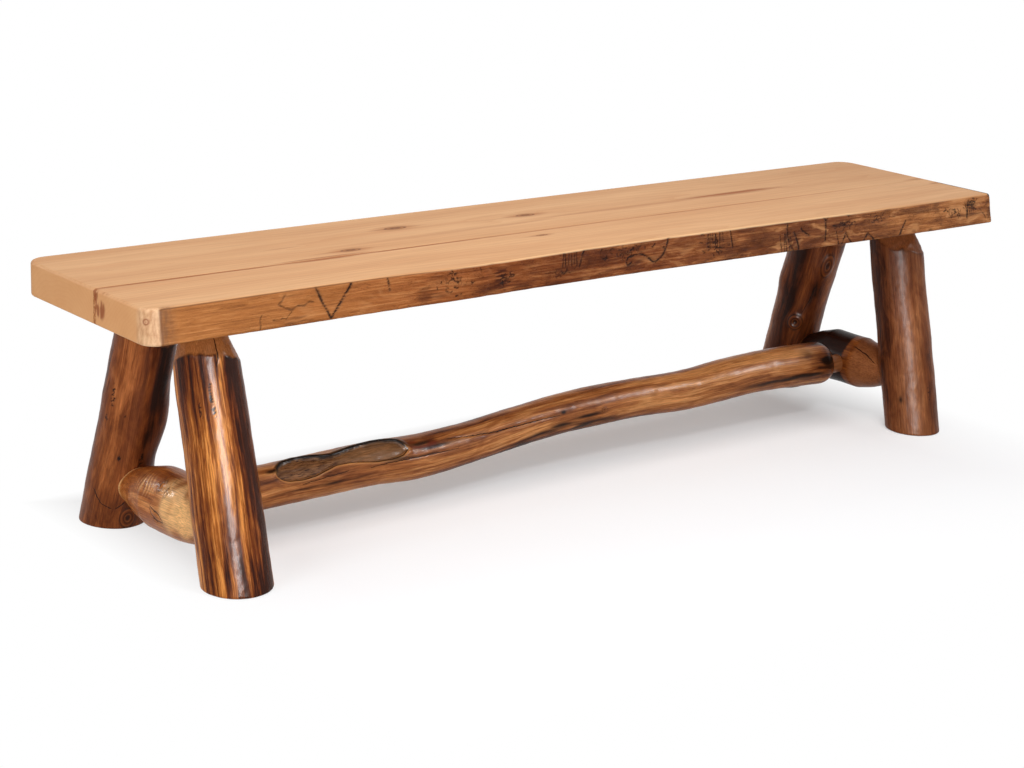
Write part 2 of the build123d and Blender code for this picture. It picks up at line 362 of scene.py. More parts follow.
def noise(vector, stretch, detail=3.0, rough=0.55, distortion=0.0, start=(0, 0, 0)):
    """Cloudy noise, drawn finer or longer along each axis."""
    tree = vector.id_data
    drawn = {"Vector": vector, "Location": start, "Scale": stretch}
    place = add_node(tree, "Mapping", drawn).outputs[0]
    clouds = {"Vector": place, "Scale": 1.0, "Detail": detail, "Roughness": rough}
    return add_node(tree, "TexNoise", {**clouds, "Distortion": distortion}).outputs["Fac"]


def new_group(name, inputs, outputs):
    """A shader node group with its sockets made, what it is given and what it puts out."""
    group = bpy.data.node_groups.new(name, "ShaderNodeTree")
    for direction, sockets in (("INPUT", inputs), ("OUTPUT", outputs)):
        for label, default in sockets.items():
            kind = "NodeSocketVector" if default is None else "NodeSocketFloat"
            socket = group.interface.new_socket(label, in_out=direction, socket_type=kind)
            if default is not None and direction == "INPUT":
                socket.default_value = default
    return group, group.nodes.new("NodeGroupInput").outputs, group.nodes.new("NodeGroupOutput")


def new_finish(name):
    """A material, with its node tree and its surface."""
    material = bpy.data.materials.new(name)
    material.use_nodes = True
    return material, material.node_tree, material.node_tree.nodes["Principled BSDF"]


# Long brown streaks of inner bark, fine fibres and small dark flecks, drawn out along the log.
bark_streaks, given, put_out = new_group(
    "bark_streaks", {"Grain": None, "Streak Width": 1.0, "Shift": 0.0},
    {"Streaks": 0.0, "Fine": 0.0, "Fibres": 0.0, "Flecks": 0.0},
)
shift = add_node(bark_streaks, "CombineXYZ", {2: given["Shift"]}).outputs[0]
grain = vector_maths("ADD", given["Grain"], shift)
sway = add_node(bark_streaks, "Mapping", {"Vector": grain, "Scale": (5, 5, 4)}).outputs[0]
sway = add_node(bark_streaks, "TexNoise", {"Vector": sway, "Scale": 1.0, "Detail": 2.0})
sway = vector_maths("MULTIPLY", sway.outputs["Color"], (0.02, 0.02, 0.0))
swayed = vector_maths("ADD", vector_maths("SCALE", grain, given["Streak Width"]), sway)
broad = noise(swayed, (34, 34, 2.4), 4.0, 0.6, 0.35)
fine = noise(swayed, (170, 170, 5.0), 5.0, 0.68, 0.15)
set_inputs(put_out, {
    "Streaks": plus(times(broad, 0.56), times(fine, 0.44)),
    "Fine": fine,
    "Fibres": noise(grain, (700, 700, 24), 3.0, 0.6),
    "Flecks": between(noise(grain, (260, 260, 42), 2.0, 0.5, start=(3, 1, 2)), 0.68, 0.76),
})


def log_finish(
    name, browns, bare, level, contrast, mottle, width=1.0, shift=0.0, flecks=0.5, coat=0.12, soft=0.2,
):
    """Clear gloss over a peeled log: streaks through four browns, pale hewn wood, knots and stains."""
    material, tree, surface = new_finish(name)
    deepest, dark, light, _ = browns
    grain = read(tree, "grain", "Vector")
    values = {"Grain": grain, "Streak Width": width, "Shift": shift}
    streak = add_node(tree, "Group", values, node_tree=bark_streaks).outputs
    patches = noise(grain, (38, 38, 13), 4.0, 0.6, 0.9, start=(shift, 0, 0))
    tone = plus(times(streak["Streaks"], 1 - mottle), times(patches, mottle))
    tone = minus(tone, times(read(tree, "dark"), contrast * 1.15))
    tone = between(tone, level - contrast, level + contrast)
    base = shades(tone, list(zip((0, 1 / 3, 2 / 3, 1), browns)))
    fibres = grey(between(streak["Fibres"], 0.3, 0.7, 0.6, 1.24))
    base = blend(1.0, base, fibres, "MULTIPLY")
    base = blend(times(streak["Flecks"], flecks), base, (34, 16, 8))
    streaked = times(between(streak["Fine"], 0.3, 0.7), between(patches, 0.4, 0.6))
    darker = {0: 0.3, 6: colour(*bare), 7: colour(*dark)}
    darker = add_node(tree, "Mix", darker, data_type="RGBA", blend_type="MIX").outputs[2]
    hewn = blend(streaked, darker, bare)
    base = blend(read(tree, "bare"), base, blend(1.0, hewn, fibres, "MULTIPLY"))
    knotted = read(tree, "knot")
    collar = [(0.22, deepest), (0.32, light), (0.48, dark), (0.58, deepest), (0.68, light), (0.8, deepest)]
    collar = shades(knotted, [(0, deepest), *collar, (1, (30, 12, 6))])
    base = blend(between(knotted, 0.04, 0.22, 0.0, 0.8), base, collar)
    base = blend(read(tree, "stain"), base, (22, 11, 7))
    base = blend(between(maths("ABSOLUTE", read(tree, "split")), 0.7, 1.4, 1.0, 0.0), base, (16, 8, 5))
    crinkle = noise(grain, (430, 430, 150), 3.0, 0.6, 0.8)
    height = plus(plus(times(streak["Fibres"], 0.5), streak["Fine"]), times(crinkle, 0.7))
    bump = add_node(tree, "Bump", {"Height": height, "Strength": 0.45, "Distance": 0.0012})
    set_inputs(surface, {
        "Base Color": base, "Roughness": 0.34, "Specular IOR Level": 0.04,
        "Coat Weight": coat, "Coat Roughness": soft, "Normal": bump.outputs[0],
    })
    return material


def log_frame(start, end, towards):
    """A log's start, length and direction, and two directions across it."""
    start, end = np.array(start, float), np.array(end, float)
    length = np.linalg.norm(end - start)
    along = (end - start) / length
    across = np.array(towards, float) - along * np.dot(towards, along)
    across /= np.linalg.norm(across)
    return start, length, along, across, np.cross(along, across)


def lobes(around, turn):
    """How far out of round a log is, as a share of its radius."""
    return OVAL * np.cos(2 * around + radians(turn)) + THIRD_LOBE * np.cos(3 * around - radians(turn))


def build_leg(name, finish, radii, turn, seed, swellings, features, spared=(0, 0)):
    """A leg from its splayed foot to the tip of its tenon, its shoulder hewn flat by flat."""
    (foot, top), (foot_radius, middle_radius, shoulder_radius) = LEG_LINES[name], radii
    start, length, along, across, beside = log_frame((*foot, 0), (*top, SEAT_UNDERSIDE), (1, 0, 0))
    angles = tau * np.arange(LEG_SIDES) / LEG_SIDES
    around = np.broadcast_to(angles, (LEG_RINGS, LEG_SIDES))
    socket_end = length + SOCKET_DEPTH
    chamfer_stops = FOOT_CHAMFER * np.array([0, 0.45, 1])
    shares = np.linspace(FOOT_CHAMFER * 1.5, socket_end, LEG_RINGS - len(chamfer_stops))
    shares = np.concatenate([chamfer_stops, shares])
    floor_line = -(np.cos(angles) * across[2] + np.sin(angles) * beside[2]) / along[2]
    fading = (1 - shares[:, None] / socket_end) ** 2
    distance = shares[:, None] + floor_line * foot_radius * fading
    share = distance / (length - SHOULDER_DROP)
    lower = foot_radius + (middle_radius - foot_radius) * share * 2
    upper = middle_radius + (shoulder_radius - middle_radius) * (share - 0.5) * 2
    log = PeeledLog(distance, around, np.where(share < 0.5, lower, upper) * (1 + lobes(around, turn)))
    log.relief += 0.0007 * log.wander(seed, 0.3, 2) * ease(distance, 0.02, 0.12)
    log.relief += 0.0002 * log.wander(seed + 1, 0.07, 5, 20)
    log.relief += 0.00008 * log.wander(seed + 2, 0.022, 26, 40)
    for at, angle, reach, height in swellings:
        log.relief += height * np.exp(-(log.off_spot(at, angle, reach, reach / 1.1) ** 2))
    for kind, *values in features:
        getattr(log, kind)(*values)
    peeled = log.radius + log.relief
    draw = np.random.default_rng(seed)
    hewn = np.full_like(peeled, 1.0)
    on_shoulder = ease(distance, length - SHOULDER_DROP * 1.3, length - SHOULDER_DROP)
    for cut in range(SHOULDER_FLATS):
        facing = tau * (cut + draw.uniform(-0.2, 0.2)) / SHOULDER_FLATS
        slope = SHOULDER_SLOPE * draw.uniform(0.97, 1.03)
        flat = shoulder_radius * draw.uniform(0.982, 0.992) - slope * (distance - length + SHOULDER_DROP)
        flat = flat + on_shoulder * spared[0] * max(0, cos(facing - radians(spared[1])))
        lean = np.cos(turned(around - facing))
        hewn = np.minimum(hewn, np.where(lean > 0.3, flat / np.maximum(lean, 0.3), 1.0))
    hewn += 0.0003 * log.wander(seed + 3, 0.02, 12, 16)
    log.mark("bare", ease(peeled - hewn, 0.0, 0.0012) * 0.9)
    edge = np.exp(-(((peeled - hewn) / 0.0009) ** 2))
    log.mark("stain", 0.4 * edge * (0.5 + 0.5 * log.wander(seed + 4, 0.02, 16, 16)))
    radius = np.minimum(peeled, hewn)
    chamfer = np.clip(1 - shares / FOOT_CHAMFER, 0, 1)[:, None]
    radius -= FOOT_CHAMFER * (1 - np.sqrt(1 - chamfer**2))
    on_floor = slice(0, len(chamfer_stops))
    distance[on_floor] = shares[on_floor, None] + floor_line * radius[on_floor]
    tenon_radius, tenon_length, easing = LEG_TENON
    tenon = tenon_rings(socket_end, socket_end + tenon_length, tenon_radius, easing, LEG_SIDES)
    distance, radius = (np.concatenate(pair) for pair in zip((distance, radius), tenon))
    rings = start + distance[..., None] * along + around_line(radius, across, beside)
    rings[0, :, 2] = 0
    return fixed_log(name, finish, log, rings, radius, distance + seed)


streaky = log_finish(
    "gloss_streaked_log", ((50, 19, 6), (98, 44, 14), (154, 86, 34), (214, 138, 68)), (186, 120, 68),
    level=0.472, contrast=0.076, mottle=0.12,
)
russet = log_finish(
    "gloss_russet_log", ((44, 18, 7), (94, 44, 18), (132, 70, 32), (176, 104, 56)), (150, 88, 48),
    level=0.465, contrast=0.13, mottle=0.35, width=0.8, shift=3.0, soft=0.3,
)
even_brown = log_finish(
    "gloss_even_brown_log", ((60, 26, 12), (108, 58, 30), (136, 82, 48), (176, 116, 72)), (140, 84, 48),
    level=0.485, contrast=0.17, mottle=0.4, width=1.1, shift=5.0, coat=0.085, soft=0.3,
)
# finish, radii at the foot, the middle and the shoulder, turn of the oval, seed of the
# unevenness, swellings, marks, and where the drawknife spared more wood under the shoulder
leg_logs = {
    "leg_front_left": (
        streaky, (0.054, 0.0525, 0.0495), 20, 11, [],
        [
            ("crack", [(0.335, -104), (0.352, -99), (0.385, -98)], 0.0009, 0.0015),
            ("pits", 0.303, -120, 0.026, 0.004, 41),
            ("pits", 0.27, -119, 0.014, 0.0035, 43),
            ("pits", 0.276, -142, 0.03, 0.003, 47),
            # dark inner bark on the front-right side, with painted shade laid over it along the whole leg
            ("shaded", 0.2, 0.35, -64, 32, 1.6),
            ("shaded", 0.33, 0.09, -160, 26, 0.9),
            ("shaded", 0.29, 0.05, -150, 16, 0.9),
            ("shaded", 0.33, 0.022, -138, 40, 0.6),
            ("shaded", 0.32, 0.08, -112, 40, 1.1),
            ("shaded", 0.1, 0.12, -165, 12, 0.6),
        ],
        (0.006, -140),
    ),
    "leg_back_left": (
        russet, (0.0535, 0.05, 0.048), 75, 23,
        [(0.2, -42, 0.045, 0.006), (0.12, -40, 0.03, -0.003), (0.05, -150, 0.04, 0.002)],
        [
            ("knot", 0.033, -100, 0.0105, 0.0012),
            ("pits", 0.235, -166, 0.026, 0.006, 51),
            ("pits", 0.2, -172, 0.012, 0.005, 53),
            ("pits", 0.213, -136, 0.009, 0.003, 57),
            ("pits", 0.142, -134, 0.013, 0.004, 59),
            ("pits", 0.138, -94, 0.014, 0.005, 61),
            # dark inner bark on the front-right side, with painted shade laid over it
            ("shaded", 0.3, 0.2, -78, 26, 1.0),
            ("shaded", 0.05, 0.03, -120, 50, 0.2),
            ("shaded", 0.25, 0.2, -190, 18, 0.5),
            ("crack", [(0.07, -172), (0.05, -150), (0.045, -125), (0.06, -110)], 0.0008, 0.0006),
        ],
    ),
    "leg_front_right": (
        even_brown, (0.05, 0.0505, 0.049), 140, 37, [(0.138, 142, 0.03, 0.003)],
        [
            ("spot", 0.062, -158, 0.007, 0.0035),
            ("pits", 0.07, -92, 0.02, 0.004, 71),
            ("shaded", 0.25, 0.25, 168, 30, 1.0),
            ("shaded", 0.1, 0.12, -90, 16, 0.7),
            ("shaded", 0.33, 0.03, -110, 60, 0.35),
        ],
        (0.014, 130),
    ),
    "leg_back_right": (
        russet, (0.05, 0.0515, 0.054), 200, 53, [(0.225, 150, 0.03, 0.004)],
        [
            ("knot", 0.288, -105, 0.0105, 0.0028, 2.0),
            ("knot", 0.158, -141, 0.0115, 0.0036, 1.15),
            ("crack", [(0.175, -134), (0.205, -124), (0.245, -116)], 0.0007, 0.0008, 55),
            ("shaded", 0.25, 0.4, -168, 24, 1.1),
            ("shaded", 0.1, 0.1, -120, 60, 0.7),
            ("shaded", 0.22, 0.04, -112, 20, 0.9),
        ],
    ),
}
legs = {name: build_leg(name, *values) for name, values in leg_logs.items()}

# ------------------------------------------------------------------ the side stretchers
# Short logs tenoned into the legs about 90 mm up. Their ends are scooped like a saddle so that
# they sit tight round the legs; the right one is drawn down to long pale tapers first.

SIDE_SIDES, SIDE_RINGS = 160, 150
SIDE_TENON = (20 * MM, 44 * MM, 1.5 * MM)  # radius, reach into the face of the leg, easing
LEG_FACE = 52 * MM  # from a leg's middle line to the saddle on its face
SETTLE = 0.3 * MM  # how far the saddle bites on the leg
RIGHT_FRONT_TAPER = 66 * MM


def saddle(leg, lie, radius, facing):
    """Where lines along a stretcher's skin, from its middle outwards, meet a leg."""
    start, length, along, across, beside = lie
    tree = BVHTree.FromObject(leg, bpy.context.evaluated_depsgraph_get())
    angles = tau * np.arange(SIDE_SIDES) / SIDE_SIDES
    found = np.full(SIDE_SIDES, np.nan)
    for index, angle in enumerate(angles):
        outward = cos(angle) * across + sin(angle) * beside
        origin = Vector(start + length / 2 * along + radius[index] * outward)
        hit, _, _, reach = tree.ray_cast(origin, Vector(along * facing))
        if hit is not None:
            found[index] = length / 2 + facing * reach
    good = ~np.isnan(found)
    return np.interp(angles, angles[good], found[good], period=tau)


def on_leg(name, height):
    """The point at a height on a leg's middle line."""
    share = height / SEAT_UNDERSIDE
    return (*(a + (b - a) * share for a, b in zip(*LEG_LINES[name])), height)


def build_side_stretcher(name, finish, heights, radius, tapers, turn, seed, hew):
    """A stretcher from tenon to tenon, drawn down to a nose at each end and coped to its legs."""
    side_legs = [name.replace("side_stretcher", "leg_" + end) for end in ("front", "back")]
    lie = log_frame(*map(on_leg, side_legs, heights), (0, 0, 1))
    start, length, along, across, beside = lie
    angles = tau * np.arange(SIDE_SIDES) / SIDE_SIDES
    tenon_radius, tenon_reach, easing = SIDE_TENON

    def girth(distance):
        """The radius at a distance, before any hewing."""
        thin = radius + 0.0015
        for (nose, taper), out in zip(tapers, (distance, length - distance)):
            stops = [0, LEG_FACE, LEG_FACE + taper / 2, LEG_FACE + taper]
            drawn_down = [nose * 0.85, nose, (nose + radius) / 2 + 0.002, radius]
            thin = np.minimum(thin, np.interp(out, stops, drawn_down))
        return thin * (1 + lobes(angles, turn))

    ends = []
    for leg, facing, face in zip(side_legs, (-1, 1), (LEG_FACE, length - LEG_FACE)):
        tip = face + facing * tenon_reach
        stop = np.full(SIDE_SIDES, face)
        for _ in range(4):
            stop = saddle(legs[leg], lie, girth(stop), facing)
        inner = saddle(legs[leg], lie, np.full(SIDE_SIDES, tenon_radius), facing) + facing * SETTLE
        ends.append((stop, tenon_rings(inner, tip, tenon_radius, easing, SIDE_SIDES)))
    (front_stop, front_tenon), (back_stop, back_tenon) = ends
    distance = front_stop + (back_stop - front_stop) * np.linspace(0, 1, SIDE_RINGS)[:, None]
    log = PeeledLog(distance, np.broadcast_to(angles, distance.shape), girth(distance))
    log.relief += 0.0009 * log.wander(seed, 0.2, 3) + 0.00015 * log.wander(seed + 1, 0.05, 6, 20)
    lip = np.minimum(distance - front_stop, back_stop - distance)
    log.mark("bare", np.exp(-((lip / 0.004) ** 2)))
    hew(log)
    distance[0] -= SETTLE
    distance[-1] += SETTLE
    middle = (distance, log.radius + log.relief)
    rows = zip(front_tenon, middle, back_tenon)
    distance, final = (np.concatenate([front[::-1], body, back]) for front, body, back in rows)
    rings = start + distance[..., None] * along + around_line(final, across, beside)
    return fixed_log(name, finish, log, rings, final, distance + seed, both=True)


def left_hewing(log):
    """Axe ridges and dark knobs near the back leg, a leaf of torn wood, and a polished pale front, its
    pale colour partly painted highlight.
    """
    ridged = np.exp(-(((log.along - 0.18) / 0.026) ** 2 + (log.turn_from(-50) / 0.3) ** 2))
    ridges = np.cos(tau * (log.along + 0.003 * log.wander(82, 0.05, 6)) / 0.009)
    knobbed = np.exp(-(((log.along - 0.13) / 0.02) ** 2 + (log.turn_from(-42) / 0.36) ** 2))
    knobs = log.wander(81, 0.011, 26, 30)
    log.relief += 0.0004 * ridged * ridges + 0.0006 * knobbed * knobs
    log.mark("bare", 0.8 * ridged * ease(ridges, 0.1, 0.8))
    log.mark("stain", 0.6 * ridged * ease(-ridges, 0.5, 1.0) + 0.9 * knobbed * ease(knobs, 0.2, 0.9))
    # the pale front: pale hewn wood, whose colour in the material is brightened beyond the wood's own as
    # painted highlight
    pale = np.exp(-(((log.along - 0.075) / 0.058) ** 2 + (log.turn_from(-70) / 1.15) ** 2))
    log.mark("bare", ease(pale * (1 + 0.25 * log.wander(83, 0.05, 7)), 0.15, 0.75))
    leaf = [(0.153, -84), (0.148, -98), (0.13, -108), (0.112, -106), (0.124, -94), (0.153, -84)]
    log.crack(leaf, 0.0009, 0.001)


def right_hewing(log):
    """Pale wood on the long taper at the front, and a dark waist behind it: dark bark, with painted shade
    on its inner side.
    """
    front = ease(0.137 - log.along + 0.002 * log.wander(86, 0.04, 5), -0.004, 0.008)
    log.mark("bare", 0.9 * ease(LEG_FACE + RIGHT_FRONT_TAPER - log.along, 0, 0.012))
    # dark bark on the waist, with painted shade: darkest on the inner side towards the middle of the
    # bench, least dark on the outer side
    log.marks["dark"] = (1 - front) * (1.0 - 0.6 * np.sin(log.around))
    log.mark("stain", (1 - front) * ease(log.wander(88, 0.1, 5), -1.2, 0.8) * 0.25)
    log.crack([(0.115, -40), (0.085, -46), (0.06, -58)], 0.001, 0.0012)


# The pale colour is brighter than the hewn wood itself: painted light and painted highlight for the
# polished front under the seat.
pale_saddle = log_finish(
    "gloss_pale_saddle_log", ((78, 32, 12), (132, 66, 26), (172, 98, 44), (216, 144, 82)), (255, 200, 134),
    level=0.46, contrast=0.15, mottle=0.4, width=0.8, shift=7.0, soft=0.12,
)
dark_saddle = log_finish(
    "gloss_dark_saddle_log", ((44, 17, 6), (104, 50, 18), (152, 84, 36), (204, 130, 68)), (158, 98, 60),
    level=0.5, contrast=0.15, mottle=0.3, width=0.8, shift=9.0, coat=0.07,
)
# finish, heights on the front and back leg, radius, and for each end the radius of its nose
# and the length of its taper
build_side_stretcher(
    "side_stretcher_left", pale_saddle, (0.091, 0.071), 0.049,
    ((0.042, 0.046), (0.03, 0.085)), 10, 67, left_hewing,
)
build_side_stretcher(
    "side_stretcher_right", dark_saddle, (0.098, 0.092), 0.051,
    ((0.028, RIGHT_FRONT_TAPER), (0.025, 0.078)), 50, 71, right_hewing,
)

# ------------------------------------------------------------------ the centre stretcher
# One long bent log from side to side, its ends bevelled and turned to round tenons. It carries
# an old wound of the tree: a double hollow with a rolled dark rim and a grey weathered floor.

CENTRE_RUN = (
    (-0.7637, -0.015, 0.0811, 0.033),
    (-0.5957, -0.016, 0.0826, 0.035),
    (-0.4811, -0.019, 0.0855, 0.0367),
    (-0.4123, -0.020, 0.0864, 0.037),
    (-0.3100, -0.018, 0.0815, 0.0356),
    (-0.2366, -0.014, 0.0838, 0.0346),
    (-0.1068, -0.008, 0.0935, 0.034),
    (0.0307, -0.006, 0.1033, 0.0343),
    (0.1713, -0.009, 0.1048, 0.0348),
    (0.3103, -0.014, 0.1032, 0.0358),
    (0.3974, -0.018, 0.1098, 0.0372),
    (0.4737, -0.020, 0.1134, 0.037),
    (0.5563, -0.019, 0.1116, 0.0391),
    (0.6403, -0.016, 0.106, 0.0397),
    (0.7640, -0.015, 0.0943, 0.0375),
)
CENTRE_ENDS, CENTRE_TIPS = (-0.6947, 0.680), (-0.7567, 0.755)
CENTRE_TENON = (17.5 * MM, 1.5 * MM)  # radius and easing of the tip
CENTRE_TENON_Y, CENTRE_TENON_HEIGHTS = -15 * MM, (0.0821, 0.0953)
CENTRE_BEVEL = 13 * MM
RIGHT_ROUNDING = (30 * MM, 19 * MM)  # along the log and across it
CENTRE_SIDES, CENTRE_RINGS = 144, 620


def smooth_through(xs, ys, at):
    """A smooth curve through points, without overshoot."""
    xs, ys = np.array(xs), np.array(ys)
    slopes = np.gradient(ys, xs)
    index = np.clip(np.searchsorted(xs, at) - 1, 0, len(xs) - 2)
    span = xs[index + 1] - xs[index]
    t = (at - xs[index]) / span
    lead = (1 + 2 * t) * (1 - t) ** 2 * ys[index] + t * (1 - t) ** 2 * span * slopes[index]
    return lead + t * t * (3 - 2 * t) * ys[index + 1] + t * t * (t - 1) * span * slopes[index + 1]


bevel_stops = CENTRE_BEVEL * (1 - np.cos(np.linspace(0, pi / 2, 9)))[:-1]
inside = (CENTRE_ENDS[0] + CENTRE_BEVEL, CENTRE_ENDS[1] - CENTRE_BEVEL)
inside = np.linspace(*inside, CENTRE_RINGS - 2 * len(bevel_stops))
runs = np.concatenate([CENTRE_ENDS[0] + bevel_stops, inside, (CENTRE_ENDS[1] - bevel_stops)[::-1]])
table = np.array(CENTRE_RUN)
middle_y, middle_z, girth = (smooth_through(table[:, 0], table[:, row], runs) for row in (1, 2, 3))
along = np.repeat(runs[:, None], CENTRE_SIDES, 1)
around = np.broadcast_to(tau * np.arange(CENTRE_SIDES) / CENTRE_SIDES, along.shape)
log = PeeledLog(along, around, girth[:, None] * (1 + lobes(around, 30)))
log.relief += 0.0006 * log.wander(91, 0.28, 2) + 0.00015 * log.wander(92, 0.06, 6, 20)

# the wound: two hollows joined by a neck, between an upper and a lower rim (angles from the top)
WOUND_X = np.array((-600, -594, -580, -556, -529, -510, -494, -470, -440, -410, -378, -358, -347)) * MM
WOUND_UPPER = np.radians((46, 24, 8, 0, 8, 18, 23, 16, 8, 4, 5, 18, 46))
WOUND_LOWER = np.radians((46, 60, 69, 73, 69, 60, 54, 54, 61, 67, 66, 59, 46))
WOUND_DEPTH, ROLL_HEIGHT, ROLL_WIDTH = 4.6 * MM, 1.7 * MM, 3.5 * MM
WOUND_RADIUS = 36 * MM  # of the log there
rim_x = np.linspace(WOUND_X[0], WOUND_X[-1], 120)
soften = np.exp(-(np.linspace(-2, 2, 9) ** 2))
upper, lower = (
    np.convolve(np.pad(np.interp(rim_x, WOUND_X, edge), 4, "edge"), soften / soften.sum(), "valid")
    for edge in (WOUND_UPPER, WOUND_LOWER)
)
rim = np.full(along.shape, 1.0)
for edge in (upper, lower):
    for x, next_x, turn, next_turn in zip(rim_x[:-1], rim_x[1:], edge[:-1], edge[1:]):
        run = np.array((next_x - x, (next_turn - turn) * WOUND_RADIUS))
        rim = np.minimum(rim, off_run((along - x, turned(around - turn) * log.radius), run))
from_top = turned(around)
inside_rim = (from_top > np.interp(along, rim_x, upper)) & (from_top < np.interp(along, rim_x, lower))
inside_rim &= (along > rim_x[0]) & (along < rim_x[-1])
rim = np.where(inside_rim, -rim, rim) + 0.0003 * log.wander(93, 0.05, 6, 16)
hollow = ease(-rim, 0.0, 0.0028)
log.relief -= WOUND_DEPTH * hollow
log.relief += ROLL_HEIGHT * np.exp(-(((rim - 0.004) / ROLL_WIDTH) ** 2))
log.relief += 0.0002 * hollow * log.wander(94, 0.04, 30, 30)
log.marks["scar"] = ease(-rim, 0.0004, 0.0022)
log.marks["rim"] = rim
beside_wound = np.exp(-(log.off_spot(-0.318, 44, 0.04, 0.011) ** 2))
log.marks["red"] = ease(beside_wound * (1 + 0.5 * log.wander(109, 0.08, 22, 24)), 0.25, 0.9)
above = ease(np.interp(along, rim_x, (upper + lower) / 2) - from_top, 0.0, 0.3)
ragged = 0.0005 * log.wander(108, 0.03, 16, 24)
log.mark("stain", above * np.exp(-(((rim - 0.0008 + ragged) / 0.0034) ** 4)))
log.mark("stain", 0.55 * above * np.exp(-((rim / 0.008) ** 2)) * ease(log.wander(95, 0.06, 5), -0.2, 1.0))

# drying cracks, small spots, and dark patches, most where the knife left more of the inner bark
log.crack([(-0.262, 38), (-0.205, 50), (-0.154, 61), (-0.08, 66), (-0.012, 71)], 0.0008, 0.0014, 96)
log.crack([(-0.43, 78), (-0.36, 72), (-0.3, 70), (-0.24, 74)], 0.0007, 0.0008, 97)
log.crack([(-0.56, 84), (-0.5, 78), (-0.47, 74)], 0.0007, 0.0006, 89)
log.knot(0.088, 88, 0.0035, 0.0006)
log.spot(-0.004, 66, 0.005, 0.0028)
log.spot(0.6, 44, 0.02, 0.011, 0.35)
for at, angle, long, wide, seed in (
    (0.02, 104, 0.05, 0.007, 98),
    (0.05, 92, 0.04, 0.005, 99),
    (-0.33, 34, 0.04, 0.008, 100),
    (-0.28, 52, 0.05, 0.004, 102),
    (-0.605, 30, 0.015, 0.006, 101),
    (0.65, 62, 0.02, 0.02, 103),
    (0.02, 120, 0.12, 0.01, 104),
    (-0.36, 66, 0.07, 0.004, 105),
    (-0.5, 98, 0.09, 0.003, 107),
    (0.55, 110, 0.12, 0.008, 106),
):
    here = np.exp(-(log.off_spot(at, angle, long, wide) ** 2))
    log.mark("stain", 0.75 * ease(here * (1 + 0.4 * log.wander(seed, 0.16, 18, 22)), 0.2, 1.1))
for at, long, angle, wide, amount in (
    (-0.1, 0.3, 140, 34, 0.7),
    (0.55, 0.16, 120, 30, 0.6),
    (0.02, 0.07, 85, 30, 0.55),
    (-0.33, 0.09, 38, 24, 0.7),
    # darker over the upper front towards the right end
    (0.66, 0.045, 60, 80, 1.15),
):
    log.shaded(at, long, angle, wide, amount)

# the left end is bevelled and thinned, the right end rounded over with a dark edge
from_end = np.minimum(along - CENTRE_ENDS[0], CENTRE_ENDS[1] - along)
at_left = along < 0
log.mark("bare", 0.8 * ease(CENTRE_BEVEL - from_end, 0.0, 0.004) * at_left)
log.mark("stain", np.where(at_left, 0, 0.9 * ease(0.0035 - from_end, 0.0, 0.002)))
bevel = 1 - np.sqrt(1 - np.clip(1 - from_end / CENTRE_BEVEL, 0, 1) ** 2)
rounding = 1 - np.sqrt(1 - 0.97 * np.clip(1 - from_end / RIGHT_ROUNDING[0], 0, 1) ** 2)
thinning = 0.006 * ease(0.045 - from_end, 0.0, 0.045)
radius = log.radius + log.relief
radius -= np.where(at_left, CENTRE_BEVEL * bevel * 0.98 + thinning, RIGHT_ROUNDING[1] * rounding)
tenons = []
for end, tip, height in zip(CENTRE_ENDS, CENTRE_TIPS, CENTRE_TENON_HEIGHTS):
    places, tenon = tenon_rings(end, tip, *CENTRE_TENON, CENTRE_SIDES)
    tenons.append((np.array([(x, CENTRE_TENON_Y, height) for x in places[:, 0]]), tenon))
(head, head_radius), (tail, tail_radius) = tenons
centres = np.concatenate([head[::-1], np.stack([runs, middle_y, middle_z], -1), tail])
radius = np.concatenate([head_radius[::-1], radius, tail_radius])
rings = centres[:, None, :] + around_line(radius, np.array((0, 0, 1)), np.array((0, -1, 0)))
honey = log_finish(
    "gloss_honey_log", ((56, 26, 12), (122, 67, 34), (165, 101, 54), (204, 140, 84)), (150, 94, 56),
    level=0.456, contrast=0.1, mottle=0.15, width=0.9, shift=11.0, flecks=0.25, coat=0.21,
)
tree = honey.node_tree
surface = tree.nodes["Principled BSDF"]
sound_wood = surface.inputs["Base Color"].links[0].from_socket
grain, off_rim = read(tree, "grain", "Vector"), read(tree, "rim")
weather = noise(grain, (520, 520, 60), 5.0, 0.72, 0.6)
weathered = blend(between(weather, 0.38, 0.6), (52, 30, 18), (152, 104, 66))
shade = noise(grain, (60, 60, 16), 2.0, start=(0, 0, 4))
weathered = blend(between(shade, 0.42, 0.62, 0.0, 0.6), weathered, (76, 54, 42))
weathered = blend(between(axes(grain)[2], -0.5, -0.45, 0.0, 0.4), weathered, (158, 114, 76))
wound = blend(times(read(tree, "red"), 0.75), sound_wood, (104, 36, 16))
wound = blend(between(off_rim, 0.0012, 0.0045, 0.6, 0.0), wound, (206, 142, 82))
wound = blend(read(tree, "scar"), wound, weathered)
wound = blend(between(maths("ABSOLUTE", off_rim), 0.0004, 0.0013, 0.9, 0.0), wound, (18, 8, 4))
wound = blend(read(tree, "stain"), wound, (20, 9, 5))
set_inputs(surface, {"Base Color": wound})
fixed_log(
    "centre_stretcher", honey, log, rings, radius, np.broadcast_to(centres[:, :1], radius.shape),
    both=True, own_marks={"scar": 0.0, "red": 0.0, "rim": 1.0},
)

# ------------------------------------------------------------------ the seat
# Two planks of pale aspen or pine, 54 mm thick, glued edge to edge. The front one keeps the
# tree's own outside as its front edge, peeled and brown, scribbled by bark beetles and dark
# with old branch marks. The other edges are sawn, rounded over and sanded, with a satin finish.

